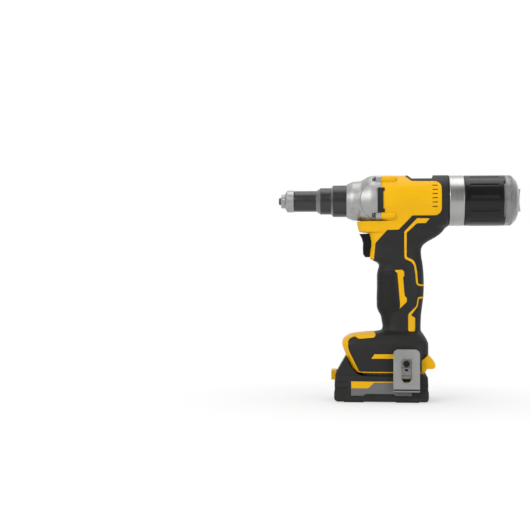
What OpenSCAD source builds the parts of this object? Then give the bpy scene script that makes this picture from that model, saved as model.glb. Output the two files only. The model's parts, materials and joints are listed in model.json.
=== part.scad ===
// Cordless blind rivet tool with a slide-on battery.
// Millimetres. +Z is up, the nose points to -X and the belt hook is on the -Y side.
// The origin is the middle of the battery's underside, on the tool's middle plane.

/* [Stance] */
// Height of the spindle axis above the table
axis_h = 242; // [238:1:248]
// Height of the foot's underside above the table
foot_z = 32.5; // [31.5:0.5:34]
// Length of the motor housing behind the gear housing
body_len = 81; // [79:1:88]
// Radius of the motor housing about the spindle axis
body_r = 31; // [30.5:0.5:33]
// Thickness of the rubber overmould
skin_t = 1; // [0.8:0.1:1.2]
// Thickness of the yellow housing wall
wall = 2.6; // [2:0.1:3]

/* [Grip] */
// Depth of the grip from front to rear
grip_d = 57; // [55:1:60]
// Half width of the grip
grip_half_w = 18.5; // [18:0.5:20]
// Half width of the housing below the motor
belly_half_w = 25; // [24.5:0.5:26]
// Half width of the foot
foot_half_w = 37; // [36.5:0.5:40]
// Reach of the foot ahead of the origin
foot_front = 46.7; // [45.5:0.5:49]
// Reach of the foot behind the origin
foot_rear = 56.4; // [56:0.5:60]

/* [Nose] */
// Length of the gear housing
gear_case_len = 42; // [41:1:46]
// Length of the large black step
step_len = 16; // [13:1:20]
// Radius of the large black step
step_r = 19.3; // [18.5:0.1:19.8]
// Length of the small black step
collar_len = 12.5; // [10:0.5:15]
// Radius of the small black step
collar_r = 16.2; // [15:0.1:17.5]
// Length of the front barrel
barrel_len = 27; // [24:1:32]
// Radius of the front barrel
barrel_r = 12.7; // [12.2:0.1:13.5]
// Length of the steel nose cap
cap_len = 16; // [14:0.5:19]
// Radius of the steel nose cap
cap_r = 13.4; // [12.8:0.1:14.5]
// Length of the nosepiece ahead of the cap
tip_len = 3; // [2:0.2:5]
// Radius of the nosepiece's head
tip_r = 4.35; // [4.2:0.05:5]
// Radius of the mandrel bore in the nosepiece
mandrel_r = 2.1; // [1.4:0.1:2.4]

/* [Drive] */
// Pulling stroke of the screw
stroke = 30; // [20:1:30]
// Radius of the hollow screw
screw_r = 8; // [7.6:0.1:8.2]
// Distance from the spindle down to the motor axis
motor_drop = 26; // [26:0.5:28]
// Radius of the motor
motor_r = 16; // [15.5:0.1:16.2]
// Module of the planet gears
planet_module = 0.75; // [0.72:0.01:0.76]

/* [Mandrel collector] */
// Length of the bright ring behind the housing
ring_len = 18.5; // [16:0.5:22]
// Length of the black sleeve
sleeve_len = 47.5; // [44:0.5:58]
// Outer radius of ring, sleeve and cup
collector_r = 30.5; // [29.5:0.5:32]
// Length of the clear end of the cup
dome_len = 16.5; // [14:0.5:20]
// Number of finger grooves on the sleeve
groove_count = 12; // [8:1:16]

/* [Trigger] */
// Travel of the trigger
trigger_travel = 6; // [4:0.5:6]
// Half width of the trigger
trigger_half_w = 8; // [7:0.5:9]

/* [Battery] */
// Length of the battery
battery_len = 114; // [113:1:122]
// Half width of the battery
battery_half_w = 36.5; // [35:0.5:36.5]
// Number of flat cells
cell_count = 5; // [4:1:5]
// Height of the raised front end above the table
fin_h = 53.9; // [50:0.5:55]

/* [Belt hook] */
// Width of the hook's steel strip
hook_w = 31.2; // [26:0.2:33]
// Thickness of the hook's steel strip
hook_t = 1.6; // [1.2:0.1:2]
// Clear width for the belt
hook_gap = 8.4; // [7:0.2:11]

/* [Hidden] */
nut_teeth = 34;
planet_teeth = 12;
$fn = 64;

// Shared clearances and the overrun of every cut
over = 1;
fit = 0.05;
gap = 0.3;
slip = 0.4;
edge = 0.8;

// Heights
upper_radii_share = 6.75806;
upper_h = upper_radii_share * body_r;
web_share = 0.737;
web_z = axis_h - (1 - web_share) * upper_h;
function height(s) = s < web_share ? foot_z + s * (web_z - foot_z) / web_share : axis_h - (1 - s) * upper_h;
motor_z = axis_h - motor_drop;

// Nose positions along the spindle
x_case = -gear_case_len;
step_cone = 3;
collar_cone = 5.5;
x_step = x_case - step_len;
x_collar = x_step - step_cone - collar_len;
x_barrel = x_collar - collar_cone - barrel_len;
x_cap = x_barrel - cap_len;
x_tip = x_cap - tip_len;
nose_bore_r = 10.6;
spigot_len = 2.4;
spigot_r = 16;
cap_face_r = 8.5;
cap_face_len = 4.3;
cap_cone_len = 3.3;
cap_spigot_len = 6;
cap_bore_r = 8.6;
cap_wall = 8;
tip_shank_r = 3.95;
tip_tail_r = 3.3;
tip_tail_len = 6;

// Pull head
jaw_r = nose_bore_r - slip;
jaw_edge = 1.2;
x_jaw0 = x_barrel + cap_spigot_len + slip;
jaw_mouth_r = 4.6;
jaw_slope = 0.2;
jaw_lip = 1;
jaw_cone_len = 18;
jaw_bore_r = jaw_mouth_r + jaw_slope * jaw_cone_len;
jaw_back_len = 12.6;
x_jaw1 = x_jaw0 + jaw_lip + jaw_cone_len + jaw_back_len;
jaw_gap = 0.15;
jaw_start = 3;
jaw_len = 14.6;
jaw_in_r = 1.8;
jaw_angle = 96;
x_jaw_front = x_jaw0 + jaw_lip + jaw_start;
x_jaw_back = x_jaw_front + jaw_len;
pusher_len = 3.7;
push_lead = 2.2;
pusher_bore_r = 2.6;
x_push0 = x_jaw_back + gap;
x_push1 = x_push0 + pusher_len;
screw_spigot_len = 4;
screw_collar_len = 4;
screw_collar_r = 9.8;
screw_bore_r = 3.2;
jaw_wire_r = 0.4;
jaw_coil_r = 5.5;
jaw_turns = 3;
x_screw_in = x_jaw1 - screw_spigot_len;
x_screw0 = x_jaw1 + screw_collar_len;

// Nut and its bearings
bearing_gap = 0.1;
shoulder_t = 2.4;
x_shoulder = x_case + spigot_len + 2 * bearing_gap;
x_thrust = x_shoulder + shoulder_t + bearing_gap;
washer_t = 1;
cage_t = 1.2;
thrust_len = 2 * washer_t + cage_t + 2 * bearing_gap;
x_nut0 = x_thrust + thrust_len + bearing_gap;
nut_r = 15;
thrust_in_r = 10.2;
case_bore_r = nut_r + slip;
train_shares = [0.0617284, 0.0987654, 0.0962963, 0.2839506, 0.2098765, 0.0432099];
x_gear = train_shares[0] * body_len;
gear_w = train_shares[1] * body_len;
nut_hub_r = 11;
x_plate = x_gear + gear_w + over;
plate_t = 6;
x_plate1 = x_plate + plate_t;
bearing_r = 17;
bearing_w = 5;
out_bearing_r = 8;
plate_rim = 3.4;
x_screw1 = x_gear + gear_w;
tube_r = 4.4;
tube_in_r = 3.4;
tube_socket = 7;
x_tube0 = x_screw1 - tube_socket;

// Gears
pinion_teeth = 18;
gear_module = 2 * motor_drop / (nut_teeth + pinion_teeth);
pressure = 25;
backlash = 0.14;
flank_steps = 4;
add_share = 0.9;
ded_share = 1.25;
ring_teeth = 3 * planet_teeth;
planet_orbit = planet_module * planet_teeth;
carrier_r = planet_module * ring_teeth * 0.45;
out_shaft_r = 4;
carrier_t = 3;
x_carrier = x_plate1 + over;
x_planet = x_carrier + carrier_t + 2 * gap;
planet_w = train_shares[2] * body_len;
pin_r = 1.5;
pin_fit = 0.06;
x_ring0 = x_plate1 + 2 * gap;
x_ring1 = x_planet + planet_w + 2 * gap;
sun_phase = 165;
ring_phase = 5;
pinion_phase = 180 / pinion_teeth;

// Motor
x_mplate = x_ring1 + gap;
mplate_t = 2.9;
shaft_r = 2;
small_bearing_r = 5;
small_bearing_w = 2.5;
winding_len = train_shares[3] * body_len;
stator_len = train_shares[4] * body_len;
x_wind0 = x_mplate + mplate_t + slip;
x_stator = x_wind0 + (winding_len - stator_len) / 2;
x_stator1 = x_stator + stator_len;
x_wind1 = x_wind0 + winding_len;
rotor_r = 9.2;
air_gap = 0.5;
slot_count = 6;
tooth_w = 5;
tooth_tip = 1.6;
yoke_t = 2.6;
wind_t = 2.4;
fan_r = 13.5;
fan_w = train_shares[5] * body_len;
fan_hub_r = 5;
fan_blades = 9;
fan_blade_t = 1.2;
x_fan = x_wind1 + over;
x_mrear = x_fan + fan_w + slip;
mrear_w = 3;
x_shaft0 = x_planet - gap;

// Housing inside
in_r = body_r - skin_t - wall;
cavity_r = motor_r + 1.2 * over;
cavity_fan_r = fan_r + over;
x_cavity1 = x_wind1 - 2 * over;
x_inner1 = body_len - skin_t - wall;
rib1_w = 5;
rib2_w = 5;
rib3_w = 5.4;
rib_hole_r = 12;
x_rib2 = x_stator + stator_len / 3;
x_rib3 = x_fan + fan_w + gap / 2;
bush_r = 7;
bush_len = 12;
bush_flange_r = 8.6;
bush_flange_t = 2.2;
x_bush = x_rib3 - bush_flange_t;
tube_hole_r = 5.4;
x_tube1 = x_bush + bush_len - slip;
case_spigot_len = 4;
case_spigot_in_r = 19;
lug_len = 6.6;
lug_y_top = 18;
lug_z_top = 25;
lug_r_top = 4.6;
lug_y_low = 24.5;
lug_z_low = -18.5;
lug_r_low = 5.2;
finger_len = 18.5;
finger_trim = 0.8;
case_screw_r = 1.9;
case_screw_head_r = 3.1;
case_screw_head_t = 2.3;
case_screw_len = 13;
case_flat = 25;
boss_r = 5.2;
boss_x = -0.75 * gear_case_len;
boss_z = -14.4;
boss_out = 21.6;
boss_in = 16.5;

// Collector
x_ring = body_len;
ring_base = 3;
ring_wall = 3.5;
ring_hole_r = 9;
ring_screw_orbit = 19;
ring_screw_r = 1.6;
ring_screw_head_r = 2.9;
ring_screw_head_t = 2.2;
seal_t = 0.6;
seal_gap = 0.05;
x_seal = x_ring + ring_len + seal_gap;
x_sleeve = x_seal + seal_t + seal_gap;
x_dome = x_sleeve + sleeve_len;
sleeve_t = 2.4;
sleeve_spigot_len = 9;
sleeve_spigot_r = collector_r - ring_wall - slip;
spigot_t = 2.2;
cup_r = collector_r - sleeve_t - gap;
cup_t = 2.2;
cup_skirt = 10;
groove_r = 2;
groove_depth = 0.9;
groove_start = 6;
groove_len = 34;
groove_turn = 25;
scallop_len = 2.2;
scallop_half = 46;
bar_half_h = 13.5;
bar_half_w = 4;
bar_out = 2.9;
bar_in = 4.3;

// Trigger and switch
trigger_stem_half_w = 6;
trigger_edge = 1.6;
x_trigger_back = -6;
x_switch = 1;
switch_len = 24;
switch_half_w = 10;
switch_z0 = height(0.682);
switch_z1 = height(0.792);
slot_z0 = height(0.6695);
slot_z1 = height(0.8145);
plunger_r = 1.2;
plunger_z = height(0.735);
spring_pocket_r = 4;
spring_pocket_len = 8;
spring_r = 2.9;
spring_wire = 0.45;
spring_turns = 6;

// Battery and receiver
half_len = battery_len / 2;
deck_z = foot_z - slip;
split_z = 18;
fin_gap = 0.9;
case_edge = 2;
case_wall = 2.6;
stem_half_w = 20;
flange_half_w = 25;
lip_drop = 5.1;
rail_h = 9.9;
lip_z = deck_z + lip_drop;
rail_z = deck_z + rail_h;
x_rail0 = -19.6;
x_rail1 = 39.2;
recv_half_w = 30;
recv_roof = 4.4;
recv_top = rail_z + recv_roof;
recv_end = 1.6;
x_recv0 = x_rail0 - slip;
x_recv1 = x_rail1 + slip + recv_end;
tooth_x = -15;
tooth_half = 3;
tooth_half_w = 6;
tooth_top = recv_top - bearing_gap;
latch_travel = 4.8;
bar_drop = 4.6;
bar_z = deck_z - bar_drop;
bar_t = 3;
button_x = -60.4;
button_t = 6.4;
button_half_w = 13;
button_z0 = 25;
button_z1 = 36.5;
latch_spring_x = -48.5;
latch_spring_z = 11.5;
latch_pocket_r = 3.9;
x_cells0 = -43;
x_cells1 = 51.5;
cells_half_w = 32;
cells_top = bar_z - latch_travel - 2 * over;
cell_gap = 0.25;
blade_count = 4;
blade_pitch = 8;
blade_t = 0.8;
x_blade0 = 18;
blade_len = 14;
blade_depth = 8;
slot_half = 1.6;
block_half_w = 18;
block_h = 6.2;
block_over = 4;
panel_x0 = -36;
panel_x1 = 36;
panel_z0 = 8.2;
panel_z1 = 25.3;
panel_t = 0.8;
panel_sink = 0.5;
ridge_h = 1.2;
ridge_depth = 0.7;
front_ridge_z = 15.8;
front_ridge_pitch = 7.6;
front_ridge_len = 15;
rear_ridge_z = 14.6;
rear_ridge_pitch = 5.8;
rear_ridge_len = 10.5;

// Foot insides
foot_in_x0 = -34;
foot_in_x1 = 46;
foot_in_half_w = 27;
foot_in_top = height(0.193);
handle_x0 = 7;
handle_x1 = 42;
handle_half_w = 12.5;
handle_top = motor_z - cavity_r + 2 * over;
tray_x0 = -30;
tray_len = 40;
tray_half_w = 24;
tray_h = 9;
board_t = 1.6;
light_r = 4;
light_len = 7;
light_tilt = 37;
light_x = -0.915 * foot_front;
light_z = height(0.2125);
light_out = 0.4;
light_depth = 16;

// Belt hook
hook_x = 29.6;
hook_top = 64.3;
hook_bottom = 13;
hook_corner = 6;
hook_slot_half_w = 6.1;
hook_slot_corner = 2.6;
hook_slot_z0 = 24.9;
hook_slot_z1 = 53;
hook_screw_z = 46.5;
hook_screw_r = 2;
hook_head_r = 3.7;
hook_head_t = 2.1;
hook_screw_len = 8;
insert_r = 3.2;
insert_len = 5;
insert_bore_r = 1.7;
insert_sink = 1;
y_hook = -foot_half_w - gap;
hook_bend_in = hook_gap / 2;
hook_bend_z = hook_bottom + hook_bend_in + hook_t;

// Nosepiece tray
drawer_x0 = 42;
drawer_x1 = 52;
drawer_half_w = 14;
drawer_z0 = 35.5;
drawer_z1 = 47;
drawer_wall = 1.5;
tab_half_w = foot_half_w - 1.2 * over;
tab_edge = 2.5;
spare_r = 4.2;
spare_len = 11.6;
spare_x = 48.2;

// Clamshell screws
grip_spots_shares = [[0.6, 0.737], [0.135, 0.6], [0.69, 0.53], [0.19, 0.345], [0.65, 0.3]];
foot_spots_shares = [[-0.49, 0.16], [0.86, 0.15]];
screw_spots_shares = concat(grip_spots_shares, foot_spots_shares);
clam_boss_r = 4.4;
clam_screw_r = 1.7;
clam_head_r = 3.1;
clam_head_t = 2.4;
clam_sink = 7;
clam_len = 9;

// Vents
vent_count = 6;
vent_share = 0.753;
vent_x = vent_share * body_len;
vent_w = 6.2;
vent_h = 1.8;
vent_pitch = 5.1;
vent_z0 = -8.6;

// Outline helpers
function grip_pt(p) = [p[0] * grip_d, height(p[1])];
function grip_pts(t) = [for (p = t) grip_pt(p)];
function unit(v) = v / norm(v);
function side_normal(a, b) = let (d = unit(b - a)) [-d[1], d[0]];
function inset_pt(p, i, d) = let (
    n = len(p),
    u = side_normal(p[(i + n - 1) % n], p[i]),
    v = side_normal(p[i], p[(i + 1) % n])
    ) p[i] + d * (u + v) / (1 + u * v);
function inset(p, d) = [for (i = [0 : len(p) - 1]) inset_pt(p, i, d)];

// Stations of the grip from the foot up: height share, front, rear, half width, squareness
grip_stations = [
    [-0.031, -0.385 * foot_front, 0.975 * foot_rear, 0.98 * foot_half_w, 6],
    [0, -0.535 * foot_front, 0.993 * foot_rear, 0.99 * foot_half_w, 6],
    [0.026, -0.698 * foot_front, foot_rear, foot_half_w, 6],
    [0.055, -0.788 * foot_front, foot_rear, foot_half_w, 6],
    [0.088, -0.865 * foot_front, foot_rear, foot_half_w, 6],
    [0.117, -0.91 * foot_front, foot_rear, foot_half_w, 6],
    [0.155, -0.976 * foot_front, foot_rear, 0.985 * foot_half_w, 6],
    [0.176, -foot_front, 0.996 * foot_rear, 0.97 * foot_half_w, 6],
    [0.197, -0.985 * foot_front, 0.97 * foot_rear, 0.93 * foot_half_w, 5.5],
    [0.212, -0.91 * foot_front, 0.94 * foot_rear, 0.86 * foot_half_w, 5],
    [0.226, -0.792 * foot_front, 0.906 * foot_rear, 0.78 * foot_half_w, 4.5],
    [0.234, -0.6 * foot_front, 0.887 * foot_rear, 0.7 * foot_half_w, 4],
    [0.24, -0.257 * foot_front, 0.867 * foot_rear, 0.62 * foot_half_w, 3.2],
    [0.251, -0.004 * grip_d, 0.839 * grip_d, 1.08 * grip_half_w, 2.8],
    [0.274, 0.026 * grip_d, 0.837 * grip_d, 1.02 * grip_half_w, 2.6],
    [0.301, 0.009 * grip_d, 0.84 * grip_d, 0.99 * grip_half_w, 2.6],
    [0.337, -0.018 * grip_d, 0.846 * grip_d, 0.975 * grip_half_w, 2.6],
    [0.36, -0.067 * grip_d, 0.856 * grip_d, 0.975 * grip_half_w, 2.6],
    [0.39, -0.098 * grip_d, 0.87 * grip_d, 0.985 * grip_half_w, 2.6],
    [0.449, -0.1 * grip_d, 0.896 * grip_d, grip_half_w, 2.6],
    [0.509, -0.095 * grip_d, 0.905 * grip_d, grip_half_w, 2.6],
    [0.568, -0.095 * grip_d, 0.9 * grip_d, grip_half_w, 2.6],
    [0.601, -0.072 * grip_d, 0.891 * grip_d, 0.99 * grip_half_w, 2.6],
    [0.624, -0.05 * grip_d, 0.882 * grip_d, 0.985 * grip_half_w, 2.6],
    [0.64, -0.079 * grip_d, 0.875 * grip_d, 0.985 * grip_half_w, 2.6],
    [0.649, -0.14 * grip_d, 0.87 * grip_d, 0.975 * grip_half_w, 2.7],
    [0.661, -0.237 * grip_d, 0.86 * grip_d, 0.965 * grip_half_w, 2.8],
    [0.68, -0.268 * grip_d, 0.85 * grip_d, 0.965 * grip_half_w, 2.8],
    [0.71, -0.256 * grip_d, 0.844 * grip_d, 0.975 * grip_half_w, 2.8],
    [0.737, -0.24 * grip_d, 0.874 * grip_d, 0.995 * grip_half_w, 2.8],
    [0.757, -0.235 * grip_d, 0.67 * body_len, 0.77 * belly_half_w, 2.8],
    [0.791, -0.26 * grip_d, 0.819 * body_len, 0.81 * belly_half_w, 2.8],
    [0.809, -0.281 * grip_d, 0.883 * body_len, 0.83 * belly_half_w, 2.8],
    [0.814, -0.298 * grip_d, 0.895 * body_len, 0.836 * belly_half_w, 2.8],
    [0.819, -0.634 * gear_case_len, 0.909 * body_len, 0.845 * belly_half_w, 2.8],
    [0.84, -0.676 * gear_case_len, 0.942 * body_len, 0.885 * belly_half_w, 2.9],
    [0.857, -0.69 * gear_case_len, 0.972 * body_len, 0.92 * belly_half_w, 3],
    [0.879, -0.71 * gear_case_len, 0.98 * body_len, 0.97 * belly_half_w, 3.2],
    [0.8805, 0.007 * gear_case_len, 0.982 * body_len, 0.972 * belly_half_w, 3.2],
    [0.924, 0.007 * gear_case_len, 0.985 * body_len, belly_half_w, 3.2]
];
ring_n = 13;
lap = 2;

function station(k) = grip_stations[max(0, min(len(grip_stations) - 1, k))];
function station_z(k) = height(station(k)[0]);
function slope(k, c) = (station(k + 1)[c] - station(k - 1)[c]) / (station_z(k + 1) - station_z(k - 1));
function power_of(v, n) = sign(v) * pow(abs(v), 2 / n);
function grip_ring(k, d) = let (
    s = station(k),
    fs = slope(k, 1),
    rs = slope(k, 2),
    ws = slope(k, 3),
    fc = 1 / sqrt(1 + fs * fs),
    rc = 1 / sqrt(1 + rs * rs),
    wc = 1 / sqrt(1 + ws * ws),
    f = s[1] + d * fc,
    r = s[2] - d * rc,
    w = s[3] - d * wc
    ) concat(
        [[f, lap, station_z(k) - d * fs * fc]],
        [for (i = [0 : ring_n]) let (
            t = 180 + 180 * i / ring_n,
            end_rise = cos(t) < 0 ? -d * fs * fc : d * rs * rc,
            rise = end_rise * cos(t) * cos(t) + d * ws * wc * sin(t) * sin(t)
            ) [(f + r) / 2 + (r - f) / 2 * power_of(cos(t), s[4]), w * power_of(sin(t), s[4]),
                station_z(k) + rise]],
        [[r, lap, station_z(k) + d * rs * rc]]);

// Skin of stacked closed rings of n points
function loft_faces(m, n) = concat(
    [[for (i = [0 : n - 1]) i]],
    [[for (i = [n - 1 : -1 : 0]) (m - 1) * n + i]],
    [for (k = [0 : m - 2]) for (i = [0 : n - 1]) let (
        a = k * n + i,
        b = k * n + (i + 1) % n
        ) each [[a, a + n, b + n], [a, b + n, b]]]
);
module grip_loft(d) {
    m = len(grip_stations);
    polyhedron(points = [for (k = [0 : m - 1]) each grip_ring(k, d)], faces = loft_faces(m, ring_n + 3));
}

// Prism along Y whose two sides are rounded over by an edge radius
function turned(p) = [for (i = [len(p) - 1 : -1 : 0]) p[i]];
crown_angles = [-90, -60, -30, 0, 0, 30, 60, 90];
module crowned(p, half_w, r) {
    rings = [for (k = [0 : 7]) let (
        a = crown_angles[k],
        near = k < 4,
        y = near ? -half_w + r * (1 + sin(a)) : half_w - r * (1 - sin(a))
        ) [for (q = turned(inset(p, r * (1 - cos(a))))) [q[0], y, q[1]]]];
    polyhedron(points = [for (g = rings) each g], faces = loft_faces(8, len(p)));
}

// Turned and straight shapes
module on_spindle() {
    translate([0, 0, axis_h]) children();
}
module on_motor() {
    translate([0, 0, motor_z]) children();
}
module lathe(p) {
    rotate([0, 90, 0]) rotate_extrude() polygon([for (q = p) [q[1], q[0]]]);
}
module rod(x0, x1, r) {
    translate([x0, 0, 0]) rotate([0, 90, 0]) cylinder(h = x1 - x0, r = r);
}
module tube(x0, x1, ro, ri) {
    lathe([[x0, ri], [x0, ro], [x1, ro], [x1, ri]]);
}
module block(lo, hi) {
    translate(lo) cube(hi - lo);
}
module side_rod(x, z, y0, y1, r) {
    translate([x, y0, z]) rotate([-90, 0, 0]) cylinder(h = y1 - y0, r = r);
}
module side_prism(half_w) {
    rotate([90, 0, 0]) linear_extrude(height = 2 * half_w, center = true) children();
}
module both_sides() {
    children();
    mirror([0, 1, 0]) children();
}

// Round wire wound about the X axis from x0 to x1
wire_sides = 6;
coil_steps = 12;
function coil_pt(x0, x1, r, turns, s) =
    [x0 + (x1 - x0) * s, r * cos(360 * turns * s), r * sin(360 * turns * s)];
module coil(x0, x1, r, wire, turns) {
    m = turns * coil_steps;
    rings = [for (k = [0 : m]) let (
        s = k / m,
        c = coil_pt(x0 + wire, x1 - wire, r, turns, s),
        out = [0, cos(360 * turns * s), sin(360 * turns * s)],
        t = unit([(x1 - x0 - 2 * wire) / (2 * PI * turns), -r * out[2], r * out[1]]),
        up = cross(t, out)
        ) [for (i = [0 : wire_sides - 1]) let (a = 360 * i / wire_sides)
            c + wire * (cos(a) * out + sin(a) * up)]];
    polyhedron(points = [for (g = rings) each g], faces = loft_faces(m + 1, wire_sides));
}

// Involute gears: outline about the origin, then extruded along X
function inv(a) = tan(a) * 180 / PI - a;
function polar(r, a) = [r * cos(a), r * sin(a)];
function flank_deg(rb, rp, half, r) = half + inv(acos(rb / rp)) - inv(acos(min(1, rb / r)));
function gear_outline(m, z, add, ded, thin) = let (
    rp = m * z / 2,
    rb = rp * cos(pressure),
    ra = rp + add,
    rf = rp - ded,
    r0 = max(rb, rf),
    half = 90 / z - thin / rp * 90 / PI,
    foot = flank_deg(rb, rp, half, r0)
    ) [for (i = [0 : z - 1]) let (c = 360 * i / z) each concat(
        rf < rb ? [polar(rf, c - foot)] : [],
        [for (k = [0 : flank_steps]) let (r = r0 + (ra - r0) * k / flank_steps)
            polar(r, c - flank_deg(rb, rp, half, r))],
        [for (k = [flank_steps : -1 : 0]) let (r = r0 + (ra - r0) * k / flank_steps)
            polar(r, c + flank_deg(rb, rp, half, r))],
        rf < rb ? [polar(rf, c + foot)] : [])];
module spur(x0, w, m, z, bore, phase) {
    translate([x0, 0, 0]) rotate([0, 90, 0]) rotate([0, 0, phase]) difference() {
        linear_extrude(height = w) polygon(gear_outline(m, z, add_share * m, ded_share * m, backlash));
        translate([0, 0, -over]) cylinder(h = w + 2 * over, r = bore);
    }
}

// Outer form of housing and grip, smaller by d
recess_share = 0.845;
recess_x_shares = [0.36, 0.44, 0.755, 0.815];
module body_form(d) {
    difference() {
        on_spindle() rod(0, body_len - d, body_r - d);
        side_prism(2 * body_r) polygon([
            [recess_x_shares[0] * body_len, axis_h + body_r + over],
            [recess_x_shares[1] * body_len, axis_h + recess_share * body_r - d],
            [recess_x_shares[2] * body_len, axis_h + recess_share * body_r - d],
            [recess_x_shares[3] * body_len, axis_h + body_r + over]]);
    }
}
module tool_form(d) {
    body_form(d);
    grip_loft(d);
}
module finger(r) {
    rod(0, finger_len - r, r);
    translate([finger_len - r, 0, 0]) sphere(r);
}
module fingers() {
    both_sides() {
        translate([0, lug_y_top, axis_h + lug_z_top]) finger(lug_r_top - finger_trim);
        translate([0, lug_y_low, axis_h + lug_z_low]) finger(lug_r_low - finger_trim);
    }
}

// Yellow area of the side view: panel, neck and the strip behind the trigger
panel_top_share = 0.79;
panel_low_share = 0.56;
panel_rear_share = 0.905;
panel_corner = 8.5;
neck_shares = [[0.66, 0.916], [0.367, 0.834], [0.116, 0.832], [-0.14, 0.755], [-0.165, 0.668],
    [-0.233, 0.656]];
far = 400;
module yellow_area() {
    px = panel_rear_share * body_len;
    pt = axis_h + panel_top_share * body_r;
    pl = axis_h - panel_low_share * body_r;
    c = panel_corner;
    polygon(concat(
        [[-far, pt + far], [recess_x_shares[0] * body_len, pt + far],
            [recess_x_shares[0] * body_len, axis_h + 0.97 * body_r],
            [recess_x_shares[1] * body_len, pt]],
        [for (a = [90 : -15 : 0]) [px - c + c * cos(a), pt - c + c * sin(a)]],
        [for (a = [0 : -15 : -90]) [px - c + c * cos(a), pl + c + c * sin(a)]],
        grip_pts(neck_shares),
        [[-far, height(0.656)]]));
}
// Yellow lines that show through windows of the overmould
accent_top_shares = [[0.75, 0.9], [1.03, 0.9], [0.95, 0.874], [0.79, 0.874], [0.545, 0.812],
    [0.545, 0.682], [0.6, 0.655], [0.69, 0.645], [0.74, 0.618], [0.745, 0.553], [0.765, 0.53],
    [0.8, 0.52], [1.2, 0.52], [1.2, 0.51], [0.785, 0.51], [0.745, 0.525], [0.725, 0.55],
    [0.71, 0.6], [0.67, 0.628], [0.55, 0.648], [0.475, 0.68], [0.475, 0.82]];
accent_low_shares = [[1.2, 0.444], [0.8, 0.444], [0.765, 0.42], [0.75, 0.395], [0.7, 0.37],
    [0.58, 0.342], [0.565, 0.335], [0.565, 0.262], [0.59, 0.245], [0.715, 0.245], [0.715, 0.318],
    [0.665, 0.34], [0.73, 0.37], [0.78, 0.4], [0.8, 0.427], [1.2, 0.435]];
foot_line_shares = [[-0.235, 0.082], [-0.165, 0.109], [0.8, 0.109], [0.8, 0.082]];
badge_shares = [[0.29, 0.6], [0.435, 0.6], [0.48, 0.586], [0.48, 0.565], [0.458, 0.553],
    [0.49, 0.452], [0.53, 0.437], [0.533, 0.417], [0.5, 0.398], [0.38, 0.371], [0.4, 0.404],
    [0.33, 0.586]];
rim_line_share = 0.006;
rim_out_shares = [[-0.75, 0.045], [-0.75, 0.24], [-0.12, 0.245], [-0.12, 0.201], [-0.6, 0.197],
    [-0.68, 0.19], [-0.705, 0.178], [-0.69, 0.15], [-0.63, 0.12], [-0.6, 0.09], [-0.53, 0.055],
    [-0.455, 0.027], [-0.38, 0.012], [-0.38, -0.1], [-1.2, -0.1], [-1.2, 0.045]];
module accents() {
    polygon(grip_pts(accent_top_shares));
    polygon(grip_pts(accent_low_shares));
    polygon(grip_pts(foot_line_shares));
    polygon(grip_pts(rim_out_shares));
}
module badge_area() {
    polygon(grip_pts(badge_shares));
}
module yellow_show() {
    side_prism(far) {
        yellow_area();
        accents();
    }
}

// Space left for the pull tab at the rear of the foot
tab_shares = [
    [0.8469, 0.006], [0.9904, 0.012], [1.1238, 0.022], [1.1471, 0.04], [1.1218, 0.068],
    [1.0612, 0.088], [0.9955, 0.099], [0.8772, 0.08], [0.8469, 0.06]];
function tab_outline() = [for (p = tab_shares) [p[0] * foot_rear, height(p[1])]];
module tab_room() {
    x0 = drawer_x1 - 4 * over - slip;
    side_prism(far) polygon(concat(
        [[x0, -far], [far, -far], [far, height(0.101)]],
        [[0.985 * foot_rear + slip, height(0.101)], [x0, height(0.08)]]));
}

// Hollow of the housing
module hollow() {
    difference() {
        union() {
            on_spindle() rod(-over, x_inner1, in_r);
            on_motor() {
                rod(x_gear - over, x_cavity1, cavity_r);
                rod(x_cavity1 - over, x_mrear, cavity_fan_r);
            }
        }
        block([x_plate1 + slip, -far, motor_z - far], [x_plate1 + slip + rib1_w, far, far]);
        block([x_rib2, -far, motor_z - far], [x_rib2 + rib2_w, far, far]);
        block([x_rib3, -far, motor_z - far], [x_rib3 + rib3_w, far, far]);
    }
    on_spindle() {
        rod(x_plate1, x_rib2 + rib2_w + over, rib_hole_r);
        rod(x_bush, x_bush + bush_len, bush_r + fit);
        rod(x_rib3 - over, x_rib3 + rib3_w + over, bush_r + fit);
        rod(body_len - far, body_len + over, tube_hole_r);
        for (a = [45 : 90 : 315])
            rotate([a, 0, 0]) translate([0, 0, ring_screw_orbit])
                rod(x_inner1 - over, body_len + over, ring_screw_r);
    }
    on_motor() {
        rod(x_plate1, x_rib2 + rib2_w + over, motor_r + fit);
        rod(x_rib3 - over, x_mrear + mrear_w + gap, small_bearing_r + fit);
    }
    block([handle_x0, -handle_half_w, foot_in_top - over], [handle_x1, handle_half_w, handle_top]);
    block([x_switch - slip, -switch_half_w - slip, switch_z0 - slip],
        [x_switch + switch_len + slip, switch_half_w + slip, switch_z1 + slip]);
    block([x_case, -trigger_half_w - slip, slot_z0], [x_switch, trigger_half_w + slip, slot_z1]);
    block([foot_in_x0, -foot_in_half_w, recv_top - over], [foot_in_x1, foot_in_half_w, foot_in_top]);
    block([x_recv0 - gap, -recv_half_w - gap, -over], [x_recv1 + gap, recv_half_w + gap, recv_top + gap]);
    block([drawer_x0 - slip - over, -drawer_half_w - slip, -over],
        [foot_rear + far, drawer_half_w + slip, drawer_z1 + slip]);
    rail_way();
    tab_room();
    light_bore();
    vents();
    bumper_room();
    hook_insert_room();
}
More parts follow.
